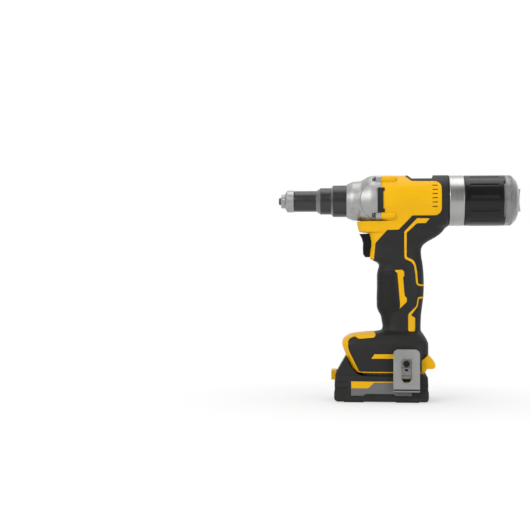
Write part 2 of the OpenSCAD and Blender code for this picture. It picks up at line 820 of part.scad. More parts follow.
// Way for the battery's rails and latch tooth through the front of the foot
module rail_way() {
    block([-far, -flange_half_w - slip, -over], [x_recv0, flange_half_w + slip, rail_z + slip]);
    block([-far, -tooth_half_w - slip, -over], [x_recv0, tooth_half_w + slip, recv_top + slip]);
}
module light_bore() {
    translate([light_x, 0, light_z]) rotate([0, -light_tilt, 0])
        translate([0, 0, -light_depth]) cylinder(h = light_depth + 4 * light_r, r = light_r + 2 * fit);
}
module vents() {
    for (k = [0 : vent_count - 1])
        translate([vent_x, -far, axis_h + vent_z0 + k * vent_pitch]) cube([vent_w, 2 * far, vent_h]);
}
module hook_insert_room() {
    side_rod(hook_x, hook_screw_z, -far, far, insert_r + fit);
}
module clam_bosses() {
    for (p = grip_pts(grip_spots_shares)) side_rod(p[0], p[1], -handle_half_w - slip, 0, clam_boss_r);
    for (p = grip_pts(foot_spots_shares)) side_rod(p[0], p[1], -foot_in_half_w - over, 0, clam_boss_r);
}
module housing_half() {
    difference() {
        intersection() {
            union() {
                tool_form(skin_t);
                fingers();
            }
            block([-far, -far, foot_z], [far, 0, far]);
        }
        hollow();
        case_screw_holes();
    }
    clam_bosses_inside();
}
module clam_bosses_inside() {
    intersection() {
        clam_bosses();
        block([foot_in_x0 - over, -far, foot_z], [handle_x1 + over, 0, handle_top]);
    }
}
module case_screw_holes() {
    both_sides() {
        translate([0, lug_y_top, axis_h + lug_z_top]) rod(-over, case_screw_len + over, case_screw_r + fit);
        translate([0, lug_y_low, axis_h + lug_z_low]) rod(-over, case_screw_len + over, case_screw_r + fit);
    }
}
module overmould_half() {
    difference() {
        intersection() {
            difference() {
                tool_form(0);
                tool_form(skin_t);
            }
            block([-far, -far, foot_z], [far, 0, far]);
        }
        yellow_show();
        side_prism(far) badge_area();
        rail_way();
        tab_room();
        light_bore();
        hook_insert_room();
        on_spindle() rod(body_len - far, body_len + over, tube_hole_r);
        on_spindle() for (a = [45 : 90 : 315])
            rotate([a, 0, 0]) translate([0, 0, ring_screw_orbit])
                rod(x_inner1, body_len + over, ring_screw_r);
    }
}
module clam_screw_cuts(extra) {
    for (p = grip_pts(screw_spots_shares)) {
        side_rod(p[0], p[1], -clam_len, far, clam_screw_r + extra);
        side_rod(p[0], p[1], clam_sink, far, clam_head_r + extra);
    }
}

module left_housing() {
    color("gold") difference() {
        housing_half();
        clam_screw_cuts(fit);
    }
}
module right_housing() {
    color("gold") difference() {
        mirror([0, 1, 0]) housing_half();
        clam_screw_cuts(fit);
    }
}
module left_overmould() {
    color("dimgray") overmould_half();
}
module right_overmould() {
    color("dimgray") difference() {
        mirror([0, 1, 0]) overmould_half();
        clam_screw_cuts(slip);
    }
}
module grip_badges() {
    color("gold") both_sides() difference() {
        intersection() {
            grip_loft(0);
            side_prism(far) badge_area();
            block([-far, -far, foot_z], [far, -grip_half_w / 2, far]);
        }
        grip_loft(skin_t);
    }
}
module housing_screws() {
    color("silver") for (p = grip_pts(screw_spots_shares)) difference() {
        union() {
            side_rod(p[0], p[1], over - clam_len, clam_sink + over, clam_screw_r);
            side_rod(p[0], p[1], clam_sink, clam_sink + clam_head_t, clam_head_r - fit);
        }
        side_rod(p[0], p[1], clam_sink + clam_head_t / 2, clam_sink + 2 * clam_head_t, clam_screw_r);
    }
}

// Gear housing with its four screw lugs
gear_steps_shares = [[-1, 0.655], [-0.97, 0.675], [-0.88, 0.73], [-0.8, 0.765], [-0.6, 0.785],
    [-0.52, 0.84], [-0.39, 0.945], [-0.29, 0.985], [-0.16, 1], [0, 1]];
shield_shares = [[-0.62, 0.843], [-0.39, 0.955], [-0.29, 0.994], [-0.16, 1.004], [0, 1.004]];
shield_r = 25;
shield_in_r = 22;
module flank_shields() {
    intersection() {
        on_spindle() lathe(concat(
            [for (p = shield_shares) [p[0] * gear_case_len, p[1] * body_r]],
            [[0, shield_in_r], [shield_shares[0][0] * gear_case_len, shield_in_r]]));
        side_rod(0, axis_h, -far, far, shield_r);
        block([x_case, -far, axis_h - case_flat], [0, far, far]);
    }
}
module gear_housing() {
    color("lightgray") difference() {
        union() {
            intersection() {
                on_spindle() lathe(concat(
                    [for (p = gear_steps_shares) [p[0] * gear_case_len, p[1] * body_r]],
                    [[0, case_spigot_in_r / 2], [x_case, case_spigot_in_r / 2]]));
                block([x_case - over, -far, axis_h - case_flat], [over, far, far]);
            }
            both_sides() {
                translate([0, lug_y_top, axis_h + lug_z_top]) rod(-lug_len, 0, lug_r_top);
                translate([0, lug_y_low, axis_h + lug_z_low]) rod(-lug_len, 0, lug_r_low);
                side_rod(boss_x, axis_h + boss_z, boss_in, boss_out, boss_r);
            }
            flank_shields();
            on_spindle() rod(-over, case_spigot_len, in_r - gap);
        }
        on_spindle() {
            rod(x_case - over, x_shoulder, spigot_r + fit);
            rod(x_case, over, nose_bore_r + fit);
            rod(x_shoulder + shoulder_t, over, case_bore_r);
            rod(-over, case_spigot_len + over, case_spigot_in_r);
        }
        both_sides() {
            translate([0, lug_y_top, axis_h + lug_z_top]) rod(-lug_len - over, over, case_screw_r + fit);
            translate([0, lug_y_low, axis_h + lug_z_low]) rod(-lug_len - over, over, case_screw_r + fit);
            translate([0, lug_y_top, axis_h + lug_z_top])
                rod(-lug_len - 4 * over, -lug_len, case_screw_head_r + gap);
            translate([0, lug_y_low, axis_h + lug_z_low])
                rod(-lug_len - 4 * over, -lug_len, case_screw_head_r + gap);
        }
        bumper_room();
    }
}
module case_screw() {
    difference() {
        union() {
            rod(-lug_len, case_screw_len, case_screw_r);
            rod(-lug_len - case_screw_head_t, -lug_len, case_screw_head_r);
        }
        rod(-lug_len - 2 * case_screw_head_t, -lug_len - case_screw_head_t / 2, case_screw_r);
    }
}
module machine_screws() {
    color("dimgray") {
        both_sides() {
            translate([0, lug_y_top, axis_h + lug_z_top]) case_screw();
            translate([0, lug_y_low, axis_h + lug_z_low]) case_screw();
        }
        ring_screws();
    }
}

// Rubber side bumpers, let into the joint of the two housings
bumper_x0 = -4;
bumper_x1 = 2.4;
bumper_half = 28;
bumper_sink = 2;
bumper_out = 0.9;
prong_len = 1.8;
prong_half = 4;
module arc_band(x0, x1, ri, ro, half, mid) {
    on_spindle() rotate([mid - half, 0, 0]) rotate([0, 90, 0]) rotate([0, 0, 90])
        rotate_extrude(angle = 2 * half) polygon([[ri, x0], [ro, x0], [ro, x1], [ri, x1]]);
}
module bumper_room() {
    for (m = [0, 180])
        arc_band(bumper_x0 - fit, bumper_x1 + prong_len + fit, body_r - bumper_sink, body_r + 4 * over,
            bumper_half + fit, m);
}
module side_bumpers() {
    color("dimgray") for (m = [0, 180]) difference() {
        arc_band(bumper_x0, bumper_x1 + prong_len, body_r - bumper_sink + fit, body_r + bumper_out,
            bumper_half, m);
        arc_band(bumper_x1, bumper_x1 + 2 * prong_len, body_r - 2 * bumper_sink, body_r + 2 * bumper_out,
            bumper_half - 2 * prong_half, m);
    }
}

module nose_barrel() {
    color("dimgray") on_spindle() lathe([
        [x_barrel, nose_bore_r], [x_barrel, barrel_r - edge], [x_barrel + edge, barrel_r],
        [x_collar - collar_cone, barrel_r], [x_collar, collar_r], [x_step - step_cone, collar_r],
        [x_step, step_r], [x_case, step_r], [x_case, spigot_r], [x_case + spigot_len, spigot_r],
        [x_case + spigot_len, nose_bore_r]]);
}
module nose_cap() {
    color("lightgray") on_spindle() lathe([
        [x_cap, tip_shank_r + fit], [x_cap, cap_face_r], [x_cap + cap_face_len, cap_face_r],
        [x_cap + cap_face_len + cap_cone_len, cap_r], [x_barrel, cap_r],
        [x_barrel, nose_bore_r - fit], [x_barrel + cap_spigot_len, nose_bore_r - fit],
        [x_barrel + cap_spigot_len, cap_bore_r], [x_cap + cap_wall, cap_bore_r],
        [x_cap + cap_wall, tip_shank_r + fit]]);
}
module nosepiece() {
    color("gray") on_spindle() lathe([
        [x_tip, mandrel_r], [x_tip, tip_r - edge], [x_tip + edge, tip_r], [x_cap, tip_r],
        [x_cap, tip_shank_r], [x_cap + cap_wall + over, tip_shank_r],
        [x_barrel + cap_spigot_len - tip_tail_len, tip_tail_r],
        [x_barrel + cap_spigot_len, tip_tail_r], [x_barrel + cap_spigot_len, mandrel_r]]);
}
module thrust_bearing() {
    on_spindle() {
        tube(x_thrust, x_thrust + washer_t, nut_r, thrust_in_r);
        tube(x_thrust + washer_t + bearing_gap, x_thrust + washer_t + bearing_gap + cage_t,
            nut_r - edge, thrust_in_r + edge);
        tube(x_thrust + thrust_len - washer_t, x_thrust + thrust_len, nut_r, thrust_in_r);
    }
}
module gear_plate() {
    color("gray") difference() {
        union() {
            on_spindle() rod(x_plate, x_plate1, bearing_r + plate_rim);
            on_motor() rod(x_plate, x_plate1, cavity_r - gap);
            block([x_plate, -out_bearing_r, motor_z], [x_plate1, out_bearing_r, axis_h]);
        }
        on_spindle() rod(x_plate - over, x_plate1 + over, bearing_r + fit);
        on_motor() rod(x_plate - over, x_plate1 + over, out_bearing_r + fit);
    }
}
module spindle_bearings() {
    on_spindle() tube(x_plate + edge, x_plate + edge + bearing_w, bearing_r, nut_hub_r + fit);
    on_motor() tube(x_plate + edge, x_plate + edge + bearing_w, out_bearing_r, out_shaft_r + fit);
}
module ring_gear() {
    m = planet_module;
    color("silver") on_motor() difference() {
        rod(x_ring0, x_ring1, motor_r);
        translate([x_ring0 - over, 0, 0]) rotate([0, 90, 0]) rotate([0, 0, ring_phase])
            linear_extrude(height = x_ring1 - x_ring0 + 2 * over)
                polygon(gear_outline(m, ring_teeth, ded_share * m, add_share * m, -backlash));
    }
}
module motor_plate() {
    color("gray") on_motor() tube(x_mplate, x_mplate + mplate_t, motor_r, small_bearing_r + fit);
}
module motor_bearings() {
    on_motor() {
        tube(x_mplate + bearing_gap, x_mplate + bearing_gap + small_bearing_w, small_bearing_r,
            shaft_r + fit);
        tube(x_mrear, x_mrear + mrear_w, small_bearing_r, shaft_r + fit);
    }
}
module bearings() {
    color("silver") {
        thrust_bearing();
        spindle_bearings();
        motor_bearings();
    }
}
module stator() {
    color("silver") on_motor() {
        tube(x_stator, x_stator1, motor_r, motor_r - yoke_t);
        for (k = [0 : slot_count - 1]) rotate([360 * k / slot_count, 0, 0]) difference() {
            union() {
                block([x_stator, -tooth_w / 2, rotor_r + air_gap],
                    [x_stator1, tooth_w / 2, motor_r - yoke_t / 2]);
                block([x_stator, -0.7 * tooth_w, rotor_r - over],
                    [x_stator1, 0.7 * tooth_w, rotor_r + air_gap + tooth_tip]);
            }
            rod(x_stator - over, x_stator1 + over, rotor_r + air_gap);
        }
    }
}
module stator_windings() {
    z0 = rotor_r + air_gap + tooth_tip + 2 * bearing_gap;
    z1 = sqrt(pow(motor_r - yoke_t - bearing_gap, 2) - pow(tooth_w / 2 + wind_t, 2));
    color("chocolate") on_motor() for (a = [0 : 360 / slot_count : 359]) rotate([a, 0, 0]) difference() {
        block([x_wind0, -tooth_w / 2 - wind_t, z0], [x_wind1, tooth_w / 2 + wind_t, z1]);
        block([x_stator - bearing_gap, -tooth_w / 2 - bearing_gap, z0 - over],
            [x_stator1 + bearing_gap, tooth_w / 2 + bearing_gap, z1 + over]);
    }
}
module guide_bush() {
    color("tan") on_spindle() lathe([
        [x_bush, tube_r + fit], [x_bush, bush_flange_r], [x_bush + bush_flange_t - fit, bush_flange_r],
        [x_bush + bush_flange_t - fit, bush_r], [x_bush + bush_len, bush_r],
        [x_bush + bush_len, tube_r + fit]]);
}
module rear_ring() {
    color("lightgray") on_spindle() difference() {
        lathe([
            [x_ring, ring_hole_r], [x_ring, collector_r - edge], [x_ring + edge, collector_r],
            [x_ring + ring_len - edge, collector_r], [x_ring + ring_len, collector_r - edge],
            [x_ring + ring_len, collector_r - ring_wall], [x_ring + ring_base, collector_r - ring_wall],
            [x_ring + ring_base, ring_hole_r]]);
        for (a = [45 : 90 : 315])
            rotate([a, 0, 0]) translate([0, 0, ring_screw_orbit])
                rod(x_ring - over, x_ring + ring_base + over, ring_screw_r);
    }
}
module ring_screws() {
    on_spindle() for (a = [45 : 90 : 315])
        rotate([a, 0, 0]) translate([0, 0, ring_screw_orbit]) difference() {
            union() {
                rod(x_inner1, x_ring + ring_base, ring_screw_r - fit);
                rod(x_ring + ring_base, x_ring + ring_base + ring_screw_head_t, ring_screw_head_r);
            }
            rod(x_ring + ring_base + ring_screw_head_t / 2, x_ring + far, ring_screw_r);
        }
}

// Electrics
module trigger_switch() {
    color("dimgray") difference() {
        block([x_switch, -switch_half_w, switch_z0], [x_switch + switch_len, switch_half_w, switch_z1]);
        translate([0, 0, plunger_z])
            rod(x_switch - over, x_switch + trigger_travel + 2 * over, plunger_r + slip);
    }
}
module receiver_slot() {
    block([x_recv0 - over, -stem_half_w - slip, -over], [x_rail1 + slip, stem_half_w + slip, lip_z]);
    block([x_recv0 - over, -flange_half_w - slip, lip_z],
        [x_rail1 + slip, flange_half_w + slip, rail_z + slip]);
}
module battery_receiver() {
    color("dimgray") difference() {
        block([x_recv0, -recv_half_w, foot_z + gap], [x_recv1, recv_half_w, recv_top]);
        receiver_slot();
        block([x_recv0 - over, -tooth_half_w - slip, rail_z], [tooth_x + tooth_half + slip,
            tooth_half_w + slip, recv_top + over]);
        block([x_blade0 - block_over - slip, -block_half_w - slip, rail_z],
            [x_blade0 + blade_len + block_over + slip, block_half_w + slip, recv_top + over]);
    }
}
module terminal_block() {
    color("dimgray") difference() {
        block([x_blade0 - block_over, -block_half_w, rail_z + 2 * slip],
            [x_blade0 + blade_len + block_over, block_half_w, rail_z + block_h]);
        blades(fit, over);
    }
}
module blades(extra, longer) {
    for (k = [0 : blade_count - 1]) let (y = (k - (blade_count - 1) / 2) * blade_pitch)
        block([x_blade0 - extra, y - blade_t / 2 - extra, rail_z - blade_depth],
            [x_blade0 + blade_len + extra, y + blade_t / 2 + extra, rail_z + block_h + longer]);
}
module terminal_blades() {
    color("orange") blades(0, 0);
}
module board_tray() {
    color("dimgray") difference() {
        block([tray_x0, -tray_half_w, recv_top + gap],
            [tray_x0 + tray_len, tray_half_w, recv_top + gap + tray_h]);
        block([tray_x0 + wall / 2, -tray_half_w + wall / 2, recv_top + gap + wall],
            [tray_x0 + tray_len - wall / 2, tray_half_w - wall / 2, recv_top + tray_h + 2 * over]);
    }
}
capacitor_r = 4.5;
capacitor_len = 16;
module circuit_board() {
    z = recv_top + gap + wall + bearing_gap;
    color("seagreen") block([tray_x0 + wall / 2 + gap, -tray_half_w + wall / 2 + gap, z],
        [tray_x0 + tray_len - wall / 2 - gap, tray_half_w - wall / 2 - gap, z + board_t]);
    color("black") for (s = [-1, 1])
        side_rod(tray_x0 + tray_len / 2, z + board_t + capacitor_r + bearing_gap,
            s * (capacitor_len / 2 + over) - capacitor_len / 2,
            s * (capacitor_len / 2 + over) + capacitor_len / 2,
            capacitor_r);
    color("seagreen") light_board();
}
module on_light() {
    translate([light_x, 0, light_z]) rotate([0, -light_tilt, 0]) children();
}
module light_lens() {
    color("white") on_light() translate([0, 0, light_out - light_len]) cylinder(h = light_len, r = light_r);
}
module light_board() {
    on_light() translate([0, 0, light_out - light_len - board_t - bearing_gap])
        cylinder(h = board_t, r = light_r);
}

// Belt hook and its screw
module hook_leg(z1) {
    hull() {
        square([hook_w, over], center = false);
        translate([hook_corner, z1 - hook_corner]) circle(hook_corner);
        translate([hook_w - hook_corner, z1 - hook_corner]) circle(hook_corner);
    }
}
module belt_hook() {
    x0 = hook_x - hook_w / 2;
    yb = y_hook - hook_t - hook_gap / 2;
    color("gray") difference() {
        union() {
            translate([x0, y_hook, hook_bend_z]) rotate([90, 0, 0]) linear_extrude(height = hook_t)
                hook_leg(hook_top - hook_bend_z - 2 * hook_corner);
            translate([x0, y_hook - hook_t - hook_gap, hook_bend_z]) rotate([90, 0, 0])
                linear_extrude(height = hook_t) hook_leg(hook_top - hook_bend_z);
            translate([x0, yb, hook_bend_z]) rotate([0, 90, 0]) rotate([0, 0, -90])
                rotate_extrude(angle = 180) polygon([[hook_bend_in, 0], [hook_bend_in + hook_t, 0],
                    [hook_bend_in + hook_t, hook_w], [hook_bend_in, hook_w]]);
        }
        side_rod(hook_x, hook_slot_z0 + hook_slot_half_w, -far, yb, hook_slot_half_w);
        for (s = [-1, 1]) side_rod(hook_x + s * (hook_slot_half_w - hook_slot_corner),
            hook_slot_z1 - hook_slot_corner, -far, yb, hook_slot_corner);
        block([hook_x - hook_slot_half_w, -far, hook_slot_z0 + hook_slot_half_w],
            [hook_x + hook_slot_half_w, yb, hook_slot_z1 - hook_slot_corner]);
        block([hook_x - hook_slot_half_w + hook_slot_corner, -far, hook_slot_z0 + hook_slot_half_w],
            [hook_x + hook_slot_half_w - hook_slot_corner, yb, hook_slot_z1]);
        side_rod(hook_x, hook_screw_z, yb, 0, hook_screw_r + 2 * fit);
    }
}
module belt_hook_screw() {
    y0 = y_hook - hook_t;
    color("silver") difference() {
        union() {
            side_rod(hook_x, hook_screw_z, y0 - hook_head_t, y0, hook_head_r);
            side_rod(hook_x, hook_screw_z, y0 - over, y0 + hook_screw_len, hook_screw_r - gap - fit);
        }
        side_rod(hook_x, hook_screw_z, y0 - 2 * hook_head_t, y0 - hook_head_t / 2, hook_screw_r - gap);
    }
}
module hook_inserts() {
    color("goldenrod") both_sides() translate([hook_x, foot_half_w - insert_sink - insert_len, hook_screw_z])
        rotate([-90, 0, 0]) difference() {
            cylinder(h = insert_len, r = insert_r);
            translate([0, 0, -over]) cylinder(h = insert_len + 2 * over, r = insert_bore_r);
        }
}

// Trigger
trigger_shares = [[-0.466, 0.808], [-0.418, 0.785], [-0.387, 0.755], [-0.391, 0.725], [-0.386, 0.691],
    [-0.342, 0.673], [-0.25, 0.673], [-0.105, 0.69], [-0.105, 0.79], [-0.25, 0.811]];
module trigger() {
    color("dimgray") {
        difference() {
            crowned([for (p = trigger_shares) grip_pt(p)], trigger_half_w, trigger_edge);
            translate([0, 0, plunger_z])
                rod(x_trigger_back - spring_pocket_len, x_trigger_back + over, spring_pocket_r);
        }
        translate([0, 0, plunger_z])
            rod(x_trigger_back - spring_pocket_len - over, x_switch - slip, plunger_r);
    }
}
module trigger_spring() {
    color("silver") translate([0, 0, plunger_z])
        coil(x_trigger_back - spring_pocket_len + fit, x_switch - fit, spring_r, spring_wire, spring_turns);
}

// Nut, screw and pull head
module drive_nut() {
    color("silver") on_spindle() lathe([
        [x_nut0, screw_r + fit], [x_nut0, nut_r - edge], [x_nut0 + edge, nut_r], [x_gear - fit, nut_r],
        [x_gear - fit, nut_hub_r], [x_plate1 + gap, nut_hub_r], [x_plate1 + gap, screw_r + fit]]);
}
module nut_gear() {
    color("silver") on_spindle() spur(x_gear, gear_w, gear_module, nut_teeth, nut_hub_r, 0);
}
module drive_screw() {
    color("silver") on_spindle() lathe([
        [x_screw_in, screw_bore_r], [x_screw_in, jaw_bore_r - bearing_gap],
        [x_jaw1, jaw_bore_r - bearing_gap],
        [x_jaw1, screw_collar_r], [x_screw0, screw_collar_r], [x_screw0, screw_r], [x_screw1, screw_r],
        [x_screw1, tube_r], [x_tube0, tube_r], [x_tube0, screw_bore_r]]);
}
module jaw_housing() {
    xc = x_jaw0 + jaw_lip;
    color("silver") on_spindle() lathe([
        [x_jaw0, jaw_mouth_r], [x_jaw0, jaw_r - jaw_edge], [x_jaw0 + jaw_edge, jaw_r], [x_jaw1, jaw_r],
        [x_jaw1, jaw_bore_r], [xc + jaw_cone_len, jaw_bore_r], [xc, jaw_mouth_r]]);
}
module mandrel_tube() {
    color("silver") on_spindle() tube(x_tube0, x_tube1, tube_r, tube_in_r);
}
module jaw_pusher() {
    color("gray") on_spindle() lathe([
        [x_push0, pusher_bore_r], [x_push0, jaw_bore_r - jaw_gap - jaw_slope * push_lead],
        [x_push0 + push_lead, jaw_bore_r - jaw_gap], [x_push1, jaw_bore_r - jaw_gap],
        [x_push1, pusher_bore_r]]);
}
module jaw_spring() {
    color("silver") on_spindle() coil(x_push1 + fit, x_screw_in - fit, jaw_coil_r, jaw_wire_r, jaw_turns);
}
function jaw_out(x) = jaw_mouth_r + jaw_slope * (x - x_jaw0 - jaw_lip) - jaw_gap;
module jaw(k) {
    color("gray") on_spindle() rotate([120 * k - jaw_angle / 2, 0, 0]) rotate([0, 90, 0])
        rotate_extrude(angle = jaw_angle) polygon([
            [jaw_in_r, x_jaw_front], [jaw_out(x_jaw_front), x_jaw_front],
            [jaw_out(x_jaw_back), x_jaw_back], [jaw_in_r, x_jaw_back]]);
}
module jaw_1() {
    jaw(0);
}
module jaw_2() {
    jaw(1);
}
module jaw_3() {
    jaw(2);
}

// Planet gearing and motor
module planet_carrier() {
    color("gray") on_motor() {
        rod(x_gear - over, x_carrier, out_shaft_r);
        rod(x_carrier - fit, x_carrier + carrier_t, carrier_r);
        for (k = [0 : 2])
            rotate([120 * k, 0, 0]) translate([0, 0, -planet_orbit])
                rod(x_carrier + carrier_t - over, x_planet + planet_w, pin_r);
    }
}
module output_pinion() {
    color("silver") on_motor() spur(x_gear, gear_w, gear_module, pinion_teeth, out_shaft_r, pinion_phase);
}
module planet(k) {
    color("silver") on_motor() rotate([120 * k, 0, 0]) translate([0, 0, -planet_orbit])
        spur(x_planet, planet_w, planet_module, planet_teeth, pin_r + pin_fit, sun_phase + 120 * k);
}
module planet_1() {
    planet(0);
}
module planet_2() {
    planet(1);
}
module planet_3() {
    planet(2);
}
module rotor() {
    color("gray") on_motor() {
        rod(x_shaft0, x_mrear + mrear_w, shaft_r);
        tube(x_stator, x_stator1, rotor_r, shaft_r);
        spur(x_planet, planet_w, planet_module, planet_teeth, shaft_r, 0);
    }
}
module cooling_fan() {
    color("dimgray") on_motor() {
        tube(x_fan, x_fan + fan_w, fan_hub_r, shaft_r);
        for (k = [0 : fan_blades - 1]) rotate([360 * k / fan_blades, 0, 0])
            block([x_fan, -fan_blade_t / 2, fan_hub_r - edge], [x_fan + fan_w, fan_blade_t / 2, fan_r]);
        tube(x_fan, x_fan + edge, fan_r, fan_hub_r - edge);
    }
}

// Battery
battery_shares = [[-0.97, 0], [0.945, 0], [0.985, 0.04], [1, 0.19], [0.99, 0.62], [0.982, 0.93],
    [0.956, 1], [-0.93, 1], [-0.97, 0.98], [-0.989, 0.78], [-1, 0.25], [-0.998, 0.06]];
fin_half_w = battery_half_w - 2 * over;
function battery_outline() = [for (p = battery_shares) [p[0] * half_len, p[1] * deck_z]];
function fin_outline() = concat(
    [[-0.535 * foot_front + 2 * slip, deck_z - over], [-0.535 * foot_front + 2 * slip, deck_z],
        [-0.605 * foot_front - fin_gap, height(0.008)],
        [-0.698 * foot_front - fin_gap, height(0.026)],
        [-0.788 * foot_front - fin_gap, height(0.055)],
        [-0.865 * foot_front - fin_gap, height(0.088)],
        [-0.89 * foot_front - fin_gap, fin_h], [-0.922 * foot_front - fin_gap, fin_h]],
    [[-0.923 * half_len, 1.21 * deck_z], [-0.975 * half_len, 1.04 * deck_z],
        [-0.97 * half_len, 0.9 * deck_z]]);
module battery_blank() {
    crowned(battery_outline(), battery_half_w, case_edge);
    side_prism(fin_half_w) polygon(fin_outline());
}
module battery_hollow() {
    block([x_cells0, -cells_half_w, case_wall], [x_cells1, cells_half_w, cells_top]);
    block([button_x - over, -button_half_w - slip, button_z0 - latch_travel - slip],
        [button_x + button_t + slip, button_half_w + slip, button_z1 + slip]);
    block([button_x, -tooth_half_w - slip, bar_z - latch_travel - slip],
        [tooth_x + tooth_half + slip, tooth_half_w + slip, bar_z + bar_t + slip]);
    block([tooth_x - tooth_half - slip, -tooth_half_w - slip, bar_z],
        [tooth_x + tooth_half + slip, tooth_half_w + slip, far]);
    translate([latch_spring_x, 0, latch_spring_z]) cylinder(h = bar_z - latch_spring_z, r = latch_pocket_r);
    for (k = [0 : blade_count - 1]) let (y = (k - (blade_count - 1) / 2) * blade_pitch)
        block([x_blade0 - 2 * over, y - slot_half, rail_z - blade_depth - over], [far, y + slot_half, far]);
    panel_beds();
}
module ridge(x0, x1, z) {
    difference() {
        block([x0, -far, z], [x1, far, z + ridge_h]);
        block([ridge_depth - half_len, ridge_depth - battery_half_w, z - over],
            [half_len - ridge_depth, battery_half_w - ridge_depth, z + ridge_h + over]);
    }
}
module end_ridges() {
    for (k = [0 : 1]) ridge(-far, front_ridge_len - half_len, front_ridge_z + k * front_ridge_pitch);
    for (k = [0 : 2]) ridge(half_len - rear_ridge_len, far, rear_ridge_z + k * rear_ridge_pitch);
}
module panel_beds() {
    both_sides() block([panel_x0 - bearing_gap, battery_half_w - panel_sink, panel_z0 - bearing_gap],
        [panel_x1 + bearing_gap, far, panel_z1 + bearing_gap]);
}
module battery_base() {
    color("dimgray") difference() {
        intersection() {
            battery_blank();
            block([-far, -far, -over], [far, far, split_z]);
        }
        battery_hollow();
        end_ridges();
    }
}
module battery_cover() {
    color("dimgray") difference() {
        union() {
            intersection() {
                battery_blank();
                block([-far, -far, split_z], [far, far, far]);
            }
            block([x_rail0, -stem_half_w, deck_z - over], [x_rail1, stem_half_w, rail_z]);
            block([x_rail0, -flange_half_w, lip_z + slip], [x_rail1, flange_half_w, rail_z]);
        }
        battery_hollow();
        end_ridges();
    }
}
module battery_cells() {
    t = (cells_top - case_wall - 2 * cell_gap) / cell_count;
    color("lightgray") for (k = [0 : cell_count - 1])
        block([x_cells0 + over, -cells_half_w + over, case_wall + cell_gap + k * t],
            [x_cells1 - over, cells_half_w - over, case_wall + k * t + t]);
}
module battery_panels() {
    color("gray") both_sides() block([panel_x0, battery_half_w - panel_sink, panel_z0],
        [panel_x1, battery_half_w - panel_sink + panel_t, panel_z1]);
}
module battery_latch() {
    color("gold") {
        block([button_x, -button_half_w, button_z0], [button_x + button_t, button_half_w, button_z1]);
        block([button_x + button_t - over, -tooth_half_w, bar_z],
            [tooth_x + tooth_half, tooth_half_w, bar_z + bar_t]);
        block([tooth_x - tooth_half, -tooth_half_w, bar_z], [tooth_x + tooth_half, tooth_half_w, tooth_top]);
    }
}
module latch_spring() {
    color("silver") translate([latch_spring_x, 0, 0]) rotate([0, -90, 0])
        coil(latch_spring_z + fit, bar_z - fit, spring_r, spring_wire, spring_turns);
}

// Mandrel collector
module collector_seal() {
    color("black") on_spindle()
        tube(x_seal, x_seal + seal_t, collector_r - edge, collector_r - ring_wall + edge);
}
module collector_sleeve() {
    xs = x_ring + ring_len - sleeve_spigot_len;
    color("dimgray") on_spindle() difference() {
        lathe([
            [xs, sleeve_spigot_r - spigot_t], [xs, sleeve_spigot_r], [x_sleeve, sleeve_spigot_r],
            [x_sleeve, collector_r], [x_dome - fit, collector_r], [x_dome - fit, collector_r - sleeve_t],
            [x_sleeve + sleeve_t, collector_r - sleeve_t],
            [x_sleeve + sleeve_t, sleeve_spigot_r - spigot_t]]);
        for (k = [0 : groove_count - 1]) rotate([360 * k / groove_count + groove_turn, 0, 0])
            translate([0, 0, collector_r + groove_r - groove_depth])
                rod(x_sleeve + groove_start, x_sleeve + groove_start + groove_len, groove_r);
        for (m = [90, 270]) rotate([m - scallop_half, 0, 0]) rotate([0, 90, 0]) rotate([0, 0, 180])
            rotate_extrude(angle = 2 * scallop_half) polygon([
                [collector_r - sleeve_t - over, x_dome - scallop_len],
                [collector_r + over, x_dome - scallop_len],
                [collector_r + over, x_dome + over], [collector_r - sleeve_t - over, x_dome + over]]);
    }
}
dome_shares = [[0.46, 1], [0.82, 0.8], [0.97, 0.61], [1, 0.46]];
module mandrel_cup() {
    xi = x_dome - cup_skirt;
    color("lightblue") on_spindle() {
        lathe(concat(
            [[xi, cup_r - cup_t], [xi, cup_r], [x_dome, cup_r], [x_dome, collector_r]],
            [for (p = dome_shares) [x_dome + p[0] * dome_len, p[1] * collector_r]],
            [[x_dome + dome_len, 0], [x_dome + dome_len - cup_t, 0]],
            [for (k = [3 : -1 : 0]) let (p = dome_shares[k])
                [x_dome + p[0] * dome_len - cup_t, p[1] * collector_r - cup_t]],
            [[x_dome, cup_r - cup_t]]));
        block([x_dome + dome_len - bar_in, -bar_half_w, -bar_half_h],
            [x_dome + dome_len + bar_out, bar_half_w, bar_half_h]);
    }
}

// Spare nosepiece tray
module nosepiece_tray() {
    color("gold") difference() {
        union() {
            crowned(tab_outline(), tab_half_w, tab_edge);
            block([drawer_x0, -drawer_half_w, drawer_z0], [drawer_x1, drawer_half_w, drawer_z1]);
        }
        block([drawer_x0 + drawer_wall, -drawer_half_w + drawer_wall, drawer_z0 + drawer_wall],
            [spare_x + spare_r + 2 * slip, drawer_half_w - drawer_wall, far]);
    }
}
module spare_nosepieces() {
    color("gray") for (s = [-1, 1])
        translate([spare_x, s * (spare_len / 2 + gap), drawer_z0 + drawer_wall + spare_r + fit])
            rotate([90, 0, 0]) difference() {
                cylinder(h = spare_len, r = spare_r, center = true);
                cylinder(h = spare_len + over, r = mandrel_r, center = true);
            }
}

